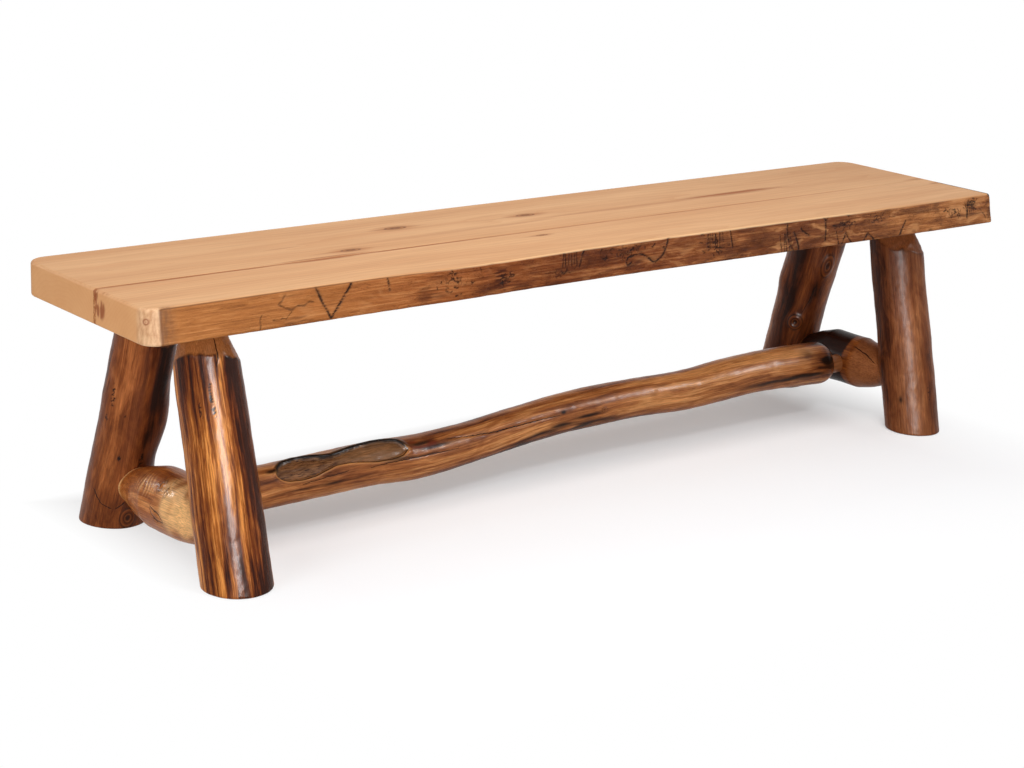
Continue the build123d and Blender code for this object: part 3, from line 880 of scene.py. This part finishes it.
SEAT_ENDS = 914.5 * MM
SEAT_TOP = 446 * MM
SEAM_Y = -29 * MM
FRONT_Y = -182 * MM
BACK_Y = 192 * MM
TOP_ARRIS, BOTTOM_ARRIS, SEAM_ARRIS = 5 * MM, 4 * MM, 0.6 * MM
LIVE_EDGE_TOP = np.array((4, 6, 6, -2, 2, 5, 2, -2, -8, -10, -8)) * MM
LIVE_EDGE_BOTTOM = np.array((-4, -2, 0, -1, 2, 0, -5, -10, -15, -19, -20)) * MM
EDGE_STEPS, EDGE_ROWS = 1380, 46
LEFT_CORNER, RIGHT_CORNER, BACK_CORNER = 26 * MM, 7 * MM, 34 * MM


def plank_levels():
    """Heights above the underside, and how far round the bottom or top arris each lies."""
    thickness = SEAT_TOP - SEAT_UNDERSIDE
    turns = np.linspace(0, pi / 2, 7)
    levels = [(BOTTOM_ARRIS * (1 - cos(t)), BOTTOM_ARRIS, 1 - sin(t)) for t in turns]
    for share in np.linspace(0, 1, EDGE_ROWS)[1:-1]:
        levels.append((BOTTOM_ARRIS + (thickness - BOTTOM_ARRIS - TOP_ARRIS) * share, 0, 0.0))
    return levels + [(thickness - TOP_ARRIS + TOP_ARRIS * sin(t), TOP_ARRIS, 1 - cos(t)) for t in turns]


def straight(start, end, count):
    """Points from start towards end, without the end."""
    share = np.arange(count)[:, None] / count
    return np.array(start) + (np.array(end) - np.array(start)) * share


def corner_arc(centre, radius, first, last, count):
    """Points round a corner, without the last."""
    turn = np.radians(np.linspace(first, last, count, endpoint=False))
    return np.stack([centre[0] + radius * np.cos(turn), centre[1] + radius * np.sin(turn)], -1)


def plank_rings(outline_at):
    """Rings of points going up a plank, its outline drawn in at the rounded arrises."""
    rings = []
    for height, arris, share in plank_levels():
        outline = outline_at(height / (SEAT_TOP - SEAT_UNDERSIDE), arris * share, SEAM_ARRIS * share)
        rings.append(np.column_stack([outline, np.full(len(outline), SEAT_UNDERSIDE + height)]))
    return np.stack(rings)


def fixed_plank(name, rings, marks):
    """A plank from rings of points going up, closed by a flat underside and a flat top."""
    count, sides = rings.shape[:2]
    quads = ring_quads(count, sides).tolist()
    underside, top = range(sides)[::-1], range((count - 1) * sides, count * sides)
    mesh = bpy.data.meshes.new(name)
    mesh.from_pydata(rings.reshape(-1, 3).tolist(), [], [*quads, list(underside), list(top)])
    mesh.set_sharp_from_angle(angle=radians(50))
    smooth = np.ones(len(mesh.polygons), bool)
    smooth[-2:] = False
    mesh.polygons.foreach_set("use_smooth", smooth)
    for label, amount in marks.items():
        store(mesh, label, amount)
    return fixed(name, mesh)


live_edge_x = np.linspace(-SEAT_ENDS + LEFT_CORNER, SEAT_ENDS - RIGHT_CORNER, len(LIVE_EDGE_TOP))


def front_outline(height, inset, seam_inset):
    """The front plank at a share of its height: the live edge, two ends and the seam."""
    live = LIVE_EDGE_BOTTOM + (LIVE_EDGE_TOP - LIVE_EDGE_BOTTOM) * height
    left_x, right_x, seam = -SEAT_ENDS + inset, SEAT_ENDS - inset, SEAM_Y - seam_inset
    left_centre = (live_edge_x[0], FRONT_Y + live[0] + LEFT_CORNER)
    right_centre = (live_edge_x[-1], FRONT_Y + live[-1] + RIGHT_CORNER)
    edge_x = np.linspace(live_edge_x[0], live_edge_x[-1], EDGE_STEPS, endpoint=False)
    edge_y = FRONT_Y + smooth_through(live_edge_x, live, edge_x) + inset
    return np.concatenate([
        straight((left_x, seam), (left_x, left_centre[1]), 40),
        corner_arc(left_centre, LEFT_CORNER - inset, 180, 270, 24),
        np.stack([edge_x, edge_y], -1),
        corner_arc(right_centre, RIGHT_CORNER - inset, 270, 360, 8),
        straight((right_x, right_centre[1]), (right_x, seam), 40),
        straight((right_x, seam), (left_x, seam), 90),
    ])


def back_outline(height, inset, seam_inset):
    """The back plank at a share of its height: the seam, two ends and the rounded back."""
    left_x, right_x, seam = -SEAT_ENDS + inset, SEAT_ENDS - inset, SEAM_Y + seam_inset
    corner_x, corner_y = SEAT_ENDS - BACK_CORNER, BACK_Y - BACK_CORNER
    return np.concatenate([
        straight((left_x, seam), (right_x, seam), 90),
        straight((right_x, seam), (right_x, corner_y), 50),
        corner_arc((corner_x, corner_y), BACK_CORNER - inset, 0, 90, 24),
        straight((corner_x, BACK_Y - inset), (-corner_x, BACK_Y - inset), 240),
        corner_arc((-corner_x, corner_y), BACK_CORNER - inset, 90, 180, 24),
        straight((left_x, corner_y), (left_x, seam), 50),
    ])


def ragged_spot(across, up, at, height, wide, tall, uneven):
    """A spot with a ragged edge on the plank's wall, its place and size in millimetres."""
    off = np.hypot((across - at * MM) / (wide * MM), (up - height * MM) / (tall * MM))
    return np.exp(-(off**2)) * (1 + 0.5 * uneven)


rings = plank_rings(front_outline)
x, y, z = rings[..., 0], rings[..., 1], rings[..., 2]
on_edge = ease(-y - 0.12, 0.0, 0.02) * ease(x + SEAT_ENDS - LEFT_CORNER, -0.006, 0.004)
on_edge = on_edge * ease(SEAT_ENDS - x, 0.0003, 0.003)
marks = {"bark": on_edge * ease(SEAT_TOP - TOP_ARRIS * 0.35 - z, -0.0008, 0.0012)}
inward = 0.0006 * wander(113, x, z * 60, 0.12, 3, 16) + 0.0002 * wander(112, x, z * 700, 0.025, 3, 24)

# beetle galleries and branch scribbles: (path in mm along and up, width, depth)
galleries = [
    ([(-625, 444), (-612, 418), (-601, 396)], 1.5, 1.2),
    ([(-600, 396), (-578, 420), (-558, 445)], 1.5, 1.2),
    ([(-495, 446), (-491, 425)], 1.4, 1.2),
    ([(-679, 439), (-684, 432), (-692, 427), (-684, 422), (-670, 416)], 1.1, 0.9),
    ([(-670, 416), (-658, 421), (-646, 420), (-638, 424), (-630, 423)], 1.0, 0.7),
    ([(-703, 405), (-694, 404), (-687, 406), (-680, 405), (-675, 410), (-670, 414)], 0.8, 0.5),
    ([(-722, 415), (-726, 408), (-725, 401), (-727, 391)], 0.8, 0.6),
    (
        [
            (4, 411), (-4, 408), (-7, 413), (-3, 421), (10, 423), (25, 424), (34, 420),
            (41, 416), (50, 409), (57, 407), (66, 412), (75, 420), (84, 434), (88, 444),
        ],
        1.4, 1.2,
    ),
    ([(-97, 447), (-104, 436), (-108, 425), (-110, 419)], 1.3, 1.1),
    ([(460, 440), (460, 422), (459, 403)], 1.3, 1.1),
    ([(455, 445), (462, 438), (470, 445)], 1.1, 0.9),
    ([(512, 446), (518, 441), (523, 446)], 1.0, 0.8),
    ([(487, 416), (490, 402), (494, 389)], 1.1, 0.9),
    ([(500, 390), (511, 412), (520, 399), (530, 388)], 1.2, 1.0),
    ([(548, 385), (558, 396), (568, 406), (580, 396), (592, 386)], 1.2, 1.0),
    ([(668, 418), (655, 400), (641, 383)], 1.3, 1.1),
    ([(383, 425), (391, 404), (392, 392)], 1.3, 1.0),
    ([(367, 440), (366, 420), (372, 402), (383, 389)], 1.5, 1.2),
    ([(400, 430), (404, 425), (412, 420), (418, 417)], 1.3, 1.0),
    ([(229, 444), (231, 430), (234, 414)], 1.0, 0.8),
    ([(847, 438), (842, 420), (840, 409)], 1.5, 1.1),
    ([(880, 420), (888, 412), (894, 404)], 0.9, 0.6),
]
draw = np.random.default_rng(17)
# combs of short strokes side by side: where along and up, how many, their gap and length
for comb_x, comb_z, count, gap, long in (
    (-128, 433, 6, 6, 24), (196, 430, 9, 5, 26), (366, 408, 5, 6, 34), (852, 428, 5, 5, 22),
):
    for tooth in range(count):
        lean, base = draw.uniform(-3, 3), comb_x + (tooth - count / 2) * gap + draw.uniform(-1, 1)
        reach = long * draw.uniform(0.35, 0.6)
        path = [(base, comb_z - reach), (base + lean * 0.4, comb_z), (base + lean, comb_z + reach)]
        galleries.append((path, draw.uniform(0.6, 0.9), 0.7))
# patches of short wandering strokes: where along and up, how wide and tall, and how many
for patch_x, patch_z, wide, tall, count in (
    (-369, 424, 28, 18, 26), (-262, 414, 16, 14, 16), (-20, 432, 60, 12, 34), (190, 420, 30, 14, 22),
    (505, 427, 34, 7, 26), (600, 430, 40, 10, 14), (800, 424, 50, 8, 22), (-140, 412, 22, 6, 12),
    (856, 430, 16, 10, 14),
):
    for _ in range(count):
        at = np.array((patch_x + draw.normal(0, wide / 2), patch_z + draw.normal(0, tall / 2)))
        heading = draw.uniform(0, tau)
        path = [at]
        for _ in range(draw.integers(2, 5)):
            heading += draw.normal(0, 0.9)
            at = at + draw.uniform(1.5, 4.0) * np.array((cos(heading), sin(heading) * 0.7))
            path.append(at)
        galleries.append((path, draw.uniform(0.5, 0.9), draw.uniform(0.4, 0.9)))
STROKE = 1.35 * MM  # the width of a stroke of width 1, out to its soft edge
STROKE_REACH = 8 * MM  # no stroke is felt further away than this
WALL_Y = -150 * MM  # the live edge lies in front of this
stroked, cut = np.zeros_like(x), np.zeros_like(x)
jitter = 0.0003 * wander(114, x, z * 900, 0.006, 4, 24)
front_wall = (y < WALL_Y) & (np.abs(x) < SEAT_ENDS - 0.004)
for path, width, depth in galleries:
    points = np.array(path, float) * MM
    low, high = points.min(0) - STROKE_REACH, points.max(0) + STROKE_REACH
    close = front_wall & (x > low[0]) & (x < high[0]) & (z > low[1]) & (z < high[1])
    near = np.full(close.sum(), 1.0)
    for start, end in zip(points[:-1], points[1:]):
        near = np.minimum(near, off_run((x[close] - start[0], z[close] - start[1]), end - start))
    groove = np.exp(-(((near + jitter[close]) / (STROKE * width)) ** 2))
    stroked[close] = np.maximum(stroked[close], groove)
    cut[close] = np.maximum(cut[close], depth * MM * groove)
inward += cut
worn_away = np.clip(1.15 + 0.45 * wander(115, x, z * 500, 0.012, 4, 24), 0.3, 1.4)
fainter = 0.6 + 0.4 * ease(x, -0.64, -0.61)
marks["stain"] = np.clip(stroked * worn_away, 0, 0.95) * fainter * (y < WALL_Y)

# dark blotches: where along and up, how wide and tall, and how strong
blotch = np.zeros_like(x)
for at, up, wide, tall, amount in (
    (-276, 417, 14, 22, 0.9), (-300, 405, 30, 10, 0.5), (-420, 410, 30, 14, 0.4), (-235, 404, 40, 8, 0.5),
    (-120, 430, 30, 16, 0.45), (-60, 425, 60, 16, 0.4), (15, 410, 20, 8, 0.6), (120, 430, 60, 14, 0.3),
    (195, 425, 34, 16, 0.45), (250, 405, 50, 10, 0.35), (372, 410, 26, 24, 0.5), (500, 427, 30, 5, 0.75),
    (545, 424, 40, 4, 0.5), (640, 436, 50, 8, 0.3), (835, 413, 50, 3, 0.6), (855, 430, 14, 12, 0.6),
    (736, 394, 8, 6, 0.6), (690, 399, 6, 6, 0.4), (-655, 397, 25, 8, 0.5), (905, 410, 8, 14, 0.5),
):
    here = ragged_spot(x, z, at, up, wide, tall, wander(at + 2000, x, z * 300, 0.06, 4))
    blotch = np.maximum(blotch, amount * ease(here, 0.2, 1.0))
marks["blotch"] = blotch * (y < -0.12)

# brown flares on the left end, and a small ringed knot on the bark's corner there
flare = np.zeros_like(x)
for at, up, wide, tall in ((-49, 418, 16, 14), (-38, 436, 7, 12), (-62, 447, 10, 5)):
    here = ragged_spot(y, z, at, up, wide, tall, wander(131, y * 3, z * 60, 0.03, 4))
    flare = np.maximum(flare, ease(here, 0.25, 0.85))
flare = flare * (x < -SEAT_ENDS + 0.004)
CORNER_KNOT = (-908.4 * MM, -170.8 * MM, 427.3 * MM)
ring = np.sqrt(((rings - CORNER_KNOT) ** 2).sum(-1))
corner = ease(0.0275 - x - SEAT_ENDS, 0.0, 0.004) * ease(-y, 0.150, 0.162)
for reach, width in ((0.0038, 0.0013), (0.0, 0.0012)):
    flare = np.maximum(flare, corner * np.exp(-(((ring - reach) / width) ** 2)))
marks["flare"], marks["corner"] = flare, corner
rings[..., 1] += np.maximum(inward, 0) * marks["bark"]
for amount in marks.values():
    amount[[0, -1]] = 0
front_plank = fixed_plank("seat_plank_front", rings, marks)
back_plank = fixed_plank("seat_plank_back", plank_rings(back_outline), {})

# Growth rings round the plank's pith: long faint lines on the faces and arcs on the end grain.
board_figure, given, put_out = new_group(
    "board_figure", {"Place": None, "Pith Y": 0.06, "Pith Z": 0.38, "Ring Gap": 0.006},
    {"Rings": 0.0, "Tone": 0.0, "Fibres": 0.0},
)
place = given["Place"]
_, across, up = axes(place)
across, up = minus(across, given["Pith Y"]), minus(up, given["Pith Z"])
reach = maths("SQRT", plus(times(across, across), times(up, up)))
reach = plus(reach, times(noise(place, (1.3, 7, 7), 3.0, 0.5), 0.07))
reach = plus(reach, times(noise(place, (4, 30, 30), 2.0, 0.5), 0.0022))
set_inputs(put_out, {
    "Rings": maths("POWER", maths("FRACT", maths("DIVIDE", reach, given["Ring Gap"])), 3.0),
    "Tone": noise(place, (1.6, 22, 22), 3.0, 0.5, start=(4, 0, 0)),
    "Fibres": noise(place, (9, 330, 330), 5.0, 0.7),
})

# A long eye in the figure where a branch or a brown streak comes through, with the grain bent round it.
board_eye, given, put_out = new_group(
    "board_eye", {"Place": None, "X": 0.0, "Y": 0.0, "Long": 0.02, "Wide": 0.007, "Bend": 0.004},
    {"Place": None, "Eye": 0.0},
)
along_seat, across, up = axes(given["Place"])
share_x = maths("DIVIDE", minus(along_seat, given["X"]), given["Long"])
share_y = maths("DIVIDE", minus(across, given["Y"]), given["Wide"])
squares = plus(times(share_x, share_x), times(share_y, share_y))
fade = maths("EXPONENT", times(squares, -0.16))
bend = times(fade, maths("SINE", maths("ARCTANGENT", share_y)), given["Bend"])
moved = add_node(board_eye, "CombineXYZ", {0: along_seat, 1: minus(across, bend), 2: up})
set_inputs(put_out, {"Place": moved.outputs[0], "Eye": minus(1.0, maths("SQRT", squares))})


def seat_finish(name, pith, gap, eyes, smears):
    """Satin lacquer on pale sanded wood with a faint figure, small brown eyes and soft streaks."""
    material, tree, surface = new_finish(name)
    place = bent_place = add_node(tree, "TexCoord").outputs["Object"]
    found = []
    for x, y, long, wide in eyes:
        values = {"Place": bent_place, "X": x, "Y": y, "Long": long, "Wide": wide, "Bend": 0.006}
        bent_place, eye = add_node(tree, "Group", values, node_tree=board_eye).outputs
        found.append(eye)
    values = {"Place": bent_place, "Pith Y": pith[0], "Pith Z": pith[1], "Ring Gap": gap}
    figure = add_node(tree, "Group", values, node_tree=board_figure).outputs
    base = blend(between(figure["Tone"], 0.3, 0.7), (200, 148, 103), (212, 164, 119))
    base = blend(times(figure["Rings"], 0.26), base, (184, 122, 72))
    end_grain = between(maths("ABSOLUTE", axes(place)[0]), SEAT_ENDS - 0.002, SEAT_ENDS - 0.0005)
    fibres = grey(between(figure["Fibres"], 0.3, 0.7, 0.9, 1.07))
    base = blend(minus(1.0, times(end_grain, 0.75)), base, fibres, "MULTIPLY")
    base = blend(times(end_grain, 0.5), base, (222, 160, 104))
    ragged = between(noise(place, (9, 300, 300), 4.0, 0.6), 0.25, 0.75, -0.45, 0.35)
    for x, y, long, wide, strength in smears:
        values = {"Place": place, "X": x, "Y": y, "Long": long, "Wide": wide}
        smear = add_node(tree, "Group", values, node_tree=board_eye).outputs["Eye"]
        base = blend(between(plus(smear, ragged), 0.05, 0.65, 0.0, strength), base, (152, 88, 42))
    for eye in found:
        heart = maths("SINE", maths("MULTIPLY_ADD", eye, 9.0, -1.6))
        heart = blend(between(heart, -1.0, 1.0), (112, 66, 34), (166, 110, 64))
        base = blend(between(eye, -1.3, 0.0, 0.0, 0.45), base, (160, 98, 52))
        base = blend(between(eye, 0.0, 0.12), base, (116, 70, 38))
        base = blend(between(eye, 0.16, 0.34), base, heart)
    bump = add_node(tree, "Bump", {"Height": figure["Fibres"], "Strength": 0.12, "Distance": 0.0006})
    satin = {"Roughness": 0.48, "Specular IOR Level": 0.05, "Normal": bump.outputs[0]}
    set_inputs(surface, {"Base Color": base, **satin})
    return material, base


# the pith's place across and up, the gap of the rings, the eyes and the smears: along, across,
# half length, half width, and for a smear its strength
back_wood, _ = seat_finish(
    "satin_back_plank", (0.075, 0.34), 0.008,
    [(-0.441, -0.002, 0.021, 0.0075), (-0.281, 0.098, 0.024, 0.009), (-0.017, 0.077, 0.022, 0.008)],
    [
        (0.46, 0.05, 0.17, 0.014, 1.0),
        (0.2, 0.045, 0.3, 0.012, 0.35),
        (-0.2, 0.03, 0.28, 0.012, 0.3),
        (-0.53, 0.06, 0.05, 0.006, 0.3),
        (0.9, -0.02, 0.05, 0.01, 0.5),
        (-0.441, -0.002, 0.09, 0.004, 0.6),
        (-0.5, -0.024, 0.13, 0.006, 0.8),
        (-0.281, 0.098, 0.08, 0.004, 0.6),
        (-0.017, 0.077, 0.08, 0.004, 0.6),
    ],
)
back_plank.data.materials.append(back_wood)
front_wood, sawn = seat_finish(
    "satin_front_plank", (-0.2, 0.3), 0.007,
    [(-0.095, -0.063, 0.013, 0.004)],
    [
        (-0.51, -0.034, 0.11, 0.009, 0.9),
        (-0.35, -0.032, 0.5, 0.007, 0.9),
        (0.3, -0.031, 0.6, 0.004, 0.7),
        (-0.78, -0.032, 0.3, 0.008, 0.95),
        (0.9, -0.066, 0.03, 0.008, 0.7),
        (-0.095, -0.063, 0.05, 0.003, 0.6),
    ],
)

# The live edge: peeled brown skin over the same wood, golden at the left and darker to the right.
tree = front_wood.node_tree
surface = tree.nodes["Principled BSDF"]
place = add_node(tree, "TexCoord").outputs["Object"]
along_seat, across, up = axes(place)
streak = noise(place, (9, 120, 120), 5.0, 0.62, 0.6)
cloud = noise(place, (13, 40, 40), 4.0, 0.6, 0.8, start=(2, 0, 0))
grained = noise(place, (5, 420, 420), 4.0, 0.6, 0.4, start=(0, 3, 1))
mottled = noise(place, (160, 160, 60), 4.0, 0.6)
browns_along = (
    (-0.9, (168, 106, 56)),
    (-0.62, (160, 98, 50)),
    (-0.42, (148, 84, 42)),
    (-0.3, (136, 74, 36)),
    (-0.15, (116, 60, 28)),
    (0.05, (118, 62, 30)),
    (0.2, (130, 74, 38)),
    (0.38, (112, 62, 32)),
    (0.52, (120, 68, 36)),
    (0.66, (152, 94, 52)),
    (0.92, (150, 92, 50)),
)
skin_shade = maths("MULTIPLY_ADD", along_seat, 0.5, 0.5)
skin_shade = shades(skin_shade, [(at / 2 + 0.5, shade) for at, shade in browns_along])
lines = plus(times(streak, 0.6), times(grained, 0.4))
deeper = times(between(lines, 0.36, 0.5, 1.0, 0.0), between(along_seat, -0.6, -0.3, 0.4, 0.75))
bark = blend(deeper, skin_shade, (80, 36, 14))
brighter = times(between(lines, 0.5, 0.64), between(skin_shade, 0.1, 0.25, 0.4, 0.65))
bark = blend(brighter, bark, (210, 146, 90))
pores = between(noise(place, (240, 620, 620), 4.0, 0.7), 0.53, 0.64)
pores = times(pores, between(cloud, 0.42, 0.58, 0.1, 0.8), between(along_seat, -0.6, -0.3, 0.3, 1.0))
bark = blend(pores, bark, (58, 24, 12))
darkened = times(between(cloud, 0.5, 0.68), between(along_seat, -0.5, -0.1, 0.1, 0.7))
bark = blend(darkened, bark, (62, 28, 12))
scraped = times(between(cloud, 0.46, 0.36), between(along_seat, 0.0, 0.4, 0.2, 0.6))
bark = blend(scraped, bark, (196, 138, 88))
bark = blend(read(tree, "blotch"), bark, (58, 24, 12))
bark = blend(read(tree, "stain"), bark, (24, 12, 8))
corner_strip = blend(between(mottled, 0.35, 0.65), (184, 136, 98), (228, 190, 152))
base = blend(times(read(tree, "corner"), 0.7), sawn, corner_strip)
base = blend(times(read(tree, "flare"), 0.8), base, (132, 58, 26))
peeled = read(tree, "bark")
base = blend(peeled, base, bark)
border = times(peeled, minus(1.0, peeled), 3.0)
base = blend(times(border, between(along_seat, -0.2, -0.45)), base, (104, 58, 26))
smudge = times(
    between(along_seat, -0.892, -0.884), between(along_seat, -0.862, -0.882),
    between(across, -0.168, -0.174), between(mottled, 0.3, 0.6, 0.25, 0.8),
)
base = blend(smudge, base, (122, 84, 58))
# a thin near-black line along the front half of the right end's top arris
dark_end_line = times(
    between(along_seat, 0.906, 0.9072), between(up, 0.4405, 0.4425), between(across, -0.055, -0.07), 0.9,
)
base = blend(dark_end_line, base, (24, 12, 8))
# painted highlight: a thin pale line along the top arris of the live edge, where the lacquer would catch
# the light
painted_arris_highlight = times(
    between(up, 0.4424, 0.4436), between(up, 0.4458, 0.4454), between(across, -0.15, -0.16),
    between(along_seat, -0.45, -0.3), between(along_seat, 0.62, 0.52), 0.45,
)
base = blend(painted_arris_highlight, base, (240, 202, 156))
height = times(plus(lines, times(cloud, 0.8)), peeled)
sanded = surface.inputs["Normal"].links[0].from_socket
bump = add_node(tree, "Bump", {"Height": height, "Strength": 0.6, "Distance": 0.004, "Normal": sanded})
set_inputs(surface, {"Base Color": base, "Normal": bump.outputs[0]})
front_plank.data.materials.append(front_wood)

# ------------------------------------------------------------------ dowels and pins
# Turned dowels across the glue line and steel pins across the tenons, all hidden in the wood.
# The dowels are hardwood, the pins are bright drawn steel, driven flush.

dowel_wood, tree, surface = new_finish("plain_turned_dowel")
turned_grain = noise(add_node(tree, "TexCoord").outputs["Object"], (600, 20, 600))
turned_grain = blend(between(turned_grain, 0.3, 0.7), (196, 160, 112), (220, 188, 142))
set_inputs(surface, {"Base Color": turned_grain})
pin_steel, tree, surface = new_finish("bright_drawn_pin")
drawn = noise(add_node(tree, "TexCoord").outputs["Object"], (90, 900, 900))
drawn = blend(between(drawn, 0.3, 0.7), (170, 168, 164), (206, 204, 200))
set_inputs(surface, {"Base Color": drawn, "Metallic": 1.0, "Roughness": 0.35})
finishes = {"seat_dowels": dowel_wood, "leg_pins": pin_steel, "stretcher_pins": pin_steel}
for node, material in finishes.items():
    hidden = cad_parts[node]
    hidden.data.materials.clear()
    hidden.data.materials.append(material)

# ------------------------------------------------------------------ the studio
# A pale floor that runs into a white surround, a tall soft box in front of the left end, and a
# broad soft fill. The lamps called shine light the gloss alone, for the lacquer's highlights.

WHITE = (1, 1, 1, 1)
FLOOR_REACH = 30.0


def seen_white(tree):
    """Rays that see the white itself: the camera's own, and those through glass or off a shine."""
    rays = add_node(tree, "LightPath").outputs
    seen = maths("MAXIMUM", rays["Is Camera Ray"], rays["Is Transmission Ray"])
    return maths("MAXIMUM", seen, rays["Is Glossy Ray"])


def show_either(tree, share, first, second, output):
    """Shows the first shader, and the second in the share given."""
    choice = add_node(tree, "MixShader", {0: share, 1: first, 2: second})
    set_inputs(tree.nodes[output], {"Surface": choice.outputs[0]})


floor_mesh = bpy.data.meshes.new("studio_floor")
corners = [(x * FLOOR_REACH, y * FLOOR_REACH, 0) for x, y in ((-1, -1), (1, -1), (1, 1), (-1, 1))]
floor_mesh.from_pydata(corners, [], [(0, 1, 2, 3)])
studio_floor = bpy.data.objects.new("studio_floor", floor_mesh)
bpy.context.scene.collection.objects.link(studio_floor)
floor_paint, tree, surface = new_finish("pale_studio_floor")
place = add_node(tree, "TexCoord").outputs["Object"]
values = {"Vector": place, "Scale": 3.0, "Detail": 2.0, "Roughness": 0.55}
mottle = blend(add_node(tree, "TexNoise", values).outputs["Fac"], (204, 203, 202), (210, 209, 208))
camera_rays = add_node(tree, "LightPath").outputs["Is Camera Ray"]
paint = blend(camera_rays, mottle, (245, 245, 247))
set_inputs(surface, {"Base Color": paint, "Roughness": 0.95, "Specular IOR Level": 0.0})
along_floor, across, _ = axes(place)
beyond = between(along_floor, -0.62, -0.86)
for way, near, far in ((along_floor, 0.66, 0.92), (across, 0.2, 0.33), (across, -0.4, -0.8)):
    beyond = maths("MAXIMUM", beyond, between(way, near, far))
whitened = times(seen_white(tree), between(beyond, 0.0, 1.0, 0.22, 1.0))
glow = add_node(tree, "Emission", {"Color": WHITE, "Strength": 1.0})
show_either(tree, whitened, surface.outputs[0], glow.outputs[0], "Material Output")
floor_mesh.materials.append(floor_paint)

world = bpy.data.worlds.new("white_surround")
bpy.context.scene.world = world
world.use_nodes = True
tree = world.node_tree
backdrop = tree.nodes["Background"]
set_inputs(backdrop, {"Color": WHITE, "Strength": 0.42})
white = add_node(tree, "Background", {"Color": WHITE, "Strength": 1.0})
show_either(tree, seen_white(tree), backdrop.outputs[0], white.outputs[0], "World Output")

# place, what it is turned to, width and height, power
lamps = (
    ("strip_box", (-1.87, -3.16, 0.75), (-0.2, -0.1, 0.3), (0.5, 1.3), 28),
    ("strip_shine", (-1.78, -3.22, 0.72), (-0.2, -0.1, 0.3), (1.0, 1.4), 290),
    ("right_shine", (2.6, -2.1, 1.7), (0.2, 0.0, 0.2), (0.9, 0.7), 54),
    ("back_shine", (-1.65, 1.9, 1.0), (-0.76, 0.0, 0.1), (0.3, 0.3), 14),
    ("right_box", (2.6, -2.1, 1.7), (0.2, 0.0, 0.2), (0.9, 0.7), 10),
    ("overhead_box", (-0.3, -0.95, 2.6), (-0.1, 0.0, 0.3), (0.5, 0.5), 30),
    ("front_box", (0.1, -1.75, 2.4), (0.0, 0.0, 0.3), (0.45, 0.45), 15),
    ("left_box", (-2.6, -0.7, 1.1), (-0.8, 0.0, 0.3), (1.0, 1.0), 15),
)
for name, place, target, size, power in lamps:
    data = bpy.data.lights.new(name, "AREA")
    data.shape, data.size, data.size_y, data.energy = "RECTANGLE", *size, power
    lamp = bpy.data.objects.new(name, data)
    bpy.context.scene.collection.objects.link(lamp)
    lamp.location = place
    lamp.rotation_mode = "QUATERNION"
    lamp.rotation_quaternion = (Vector(target) - Vector(place)).to_track_quat("-Z", "Y")
    lamp.visible_diffuse = not name.endswith("shine")

CAMERA_PLACE = (-2.4040, -2.7914, 1.2217)
CAMERA_RIGHT = (0.777295, -0.627789, 0.041148)
CAMERA_UP = (0.144429, 0.241717, 0.959538)
camera_data = bpy.data.cameras.new("studio_camera")
camera_data.lens, camera_data.sensor_width = 76.81, 36
camera = bpy.data.objects.new("studio_camera", camera_data)
bpy.context.scene.collection.objects.link(camera)
right, up = Vector(CAMERA_RIGHT), Vector(CAMERA_UP)
turn = Matrix((right, up, right.cross(up))).transposed().to_4x4()
camera.matrix_world = Matrix.Translation(CAMERA_PLACE) @ turn
bpy.context.scene.camera = camera
bpy.context.scene.view_settings.view_transform = "Standard"
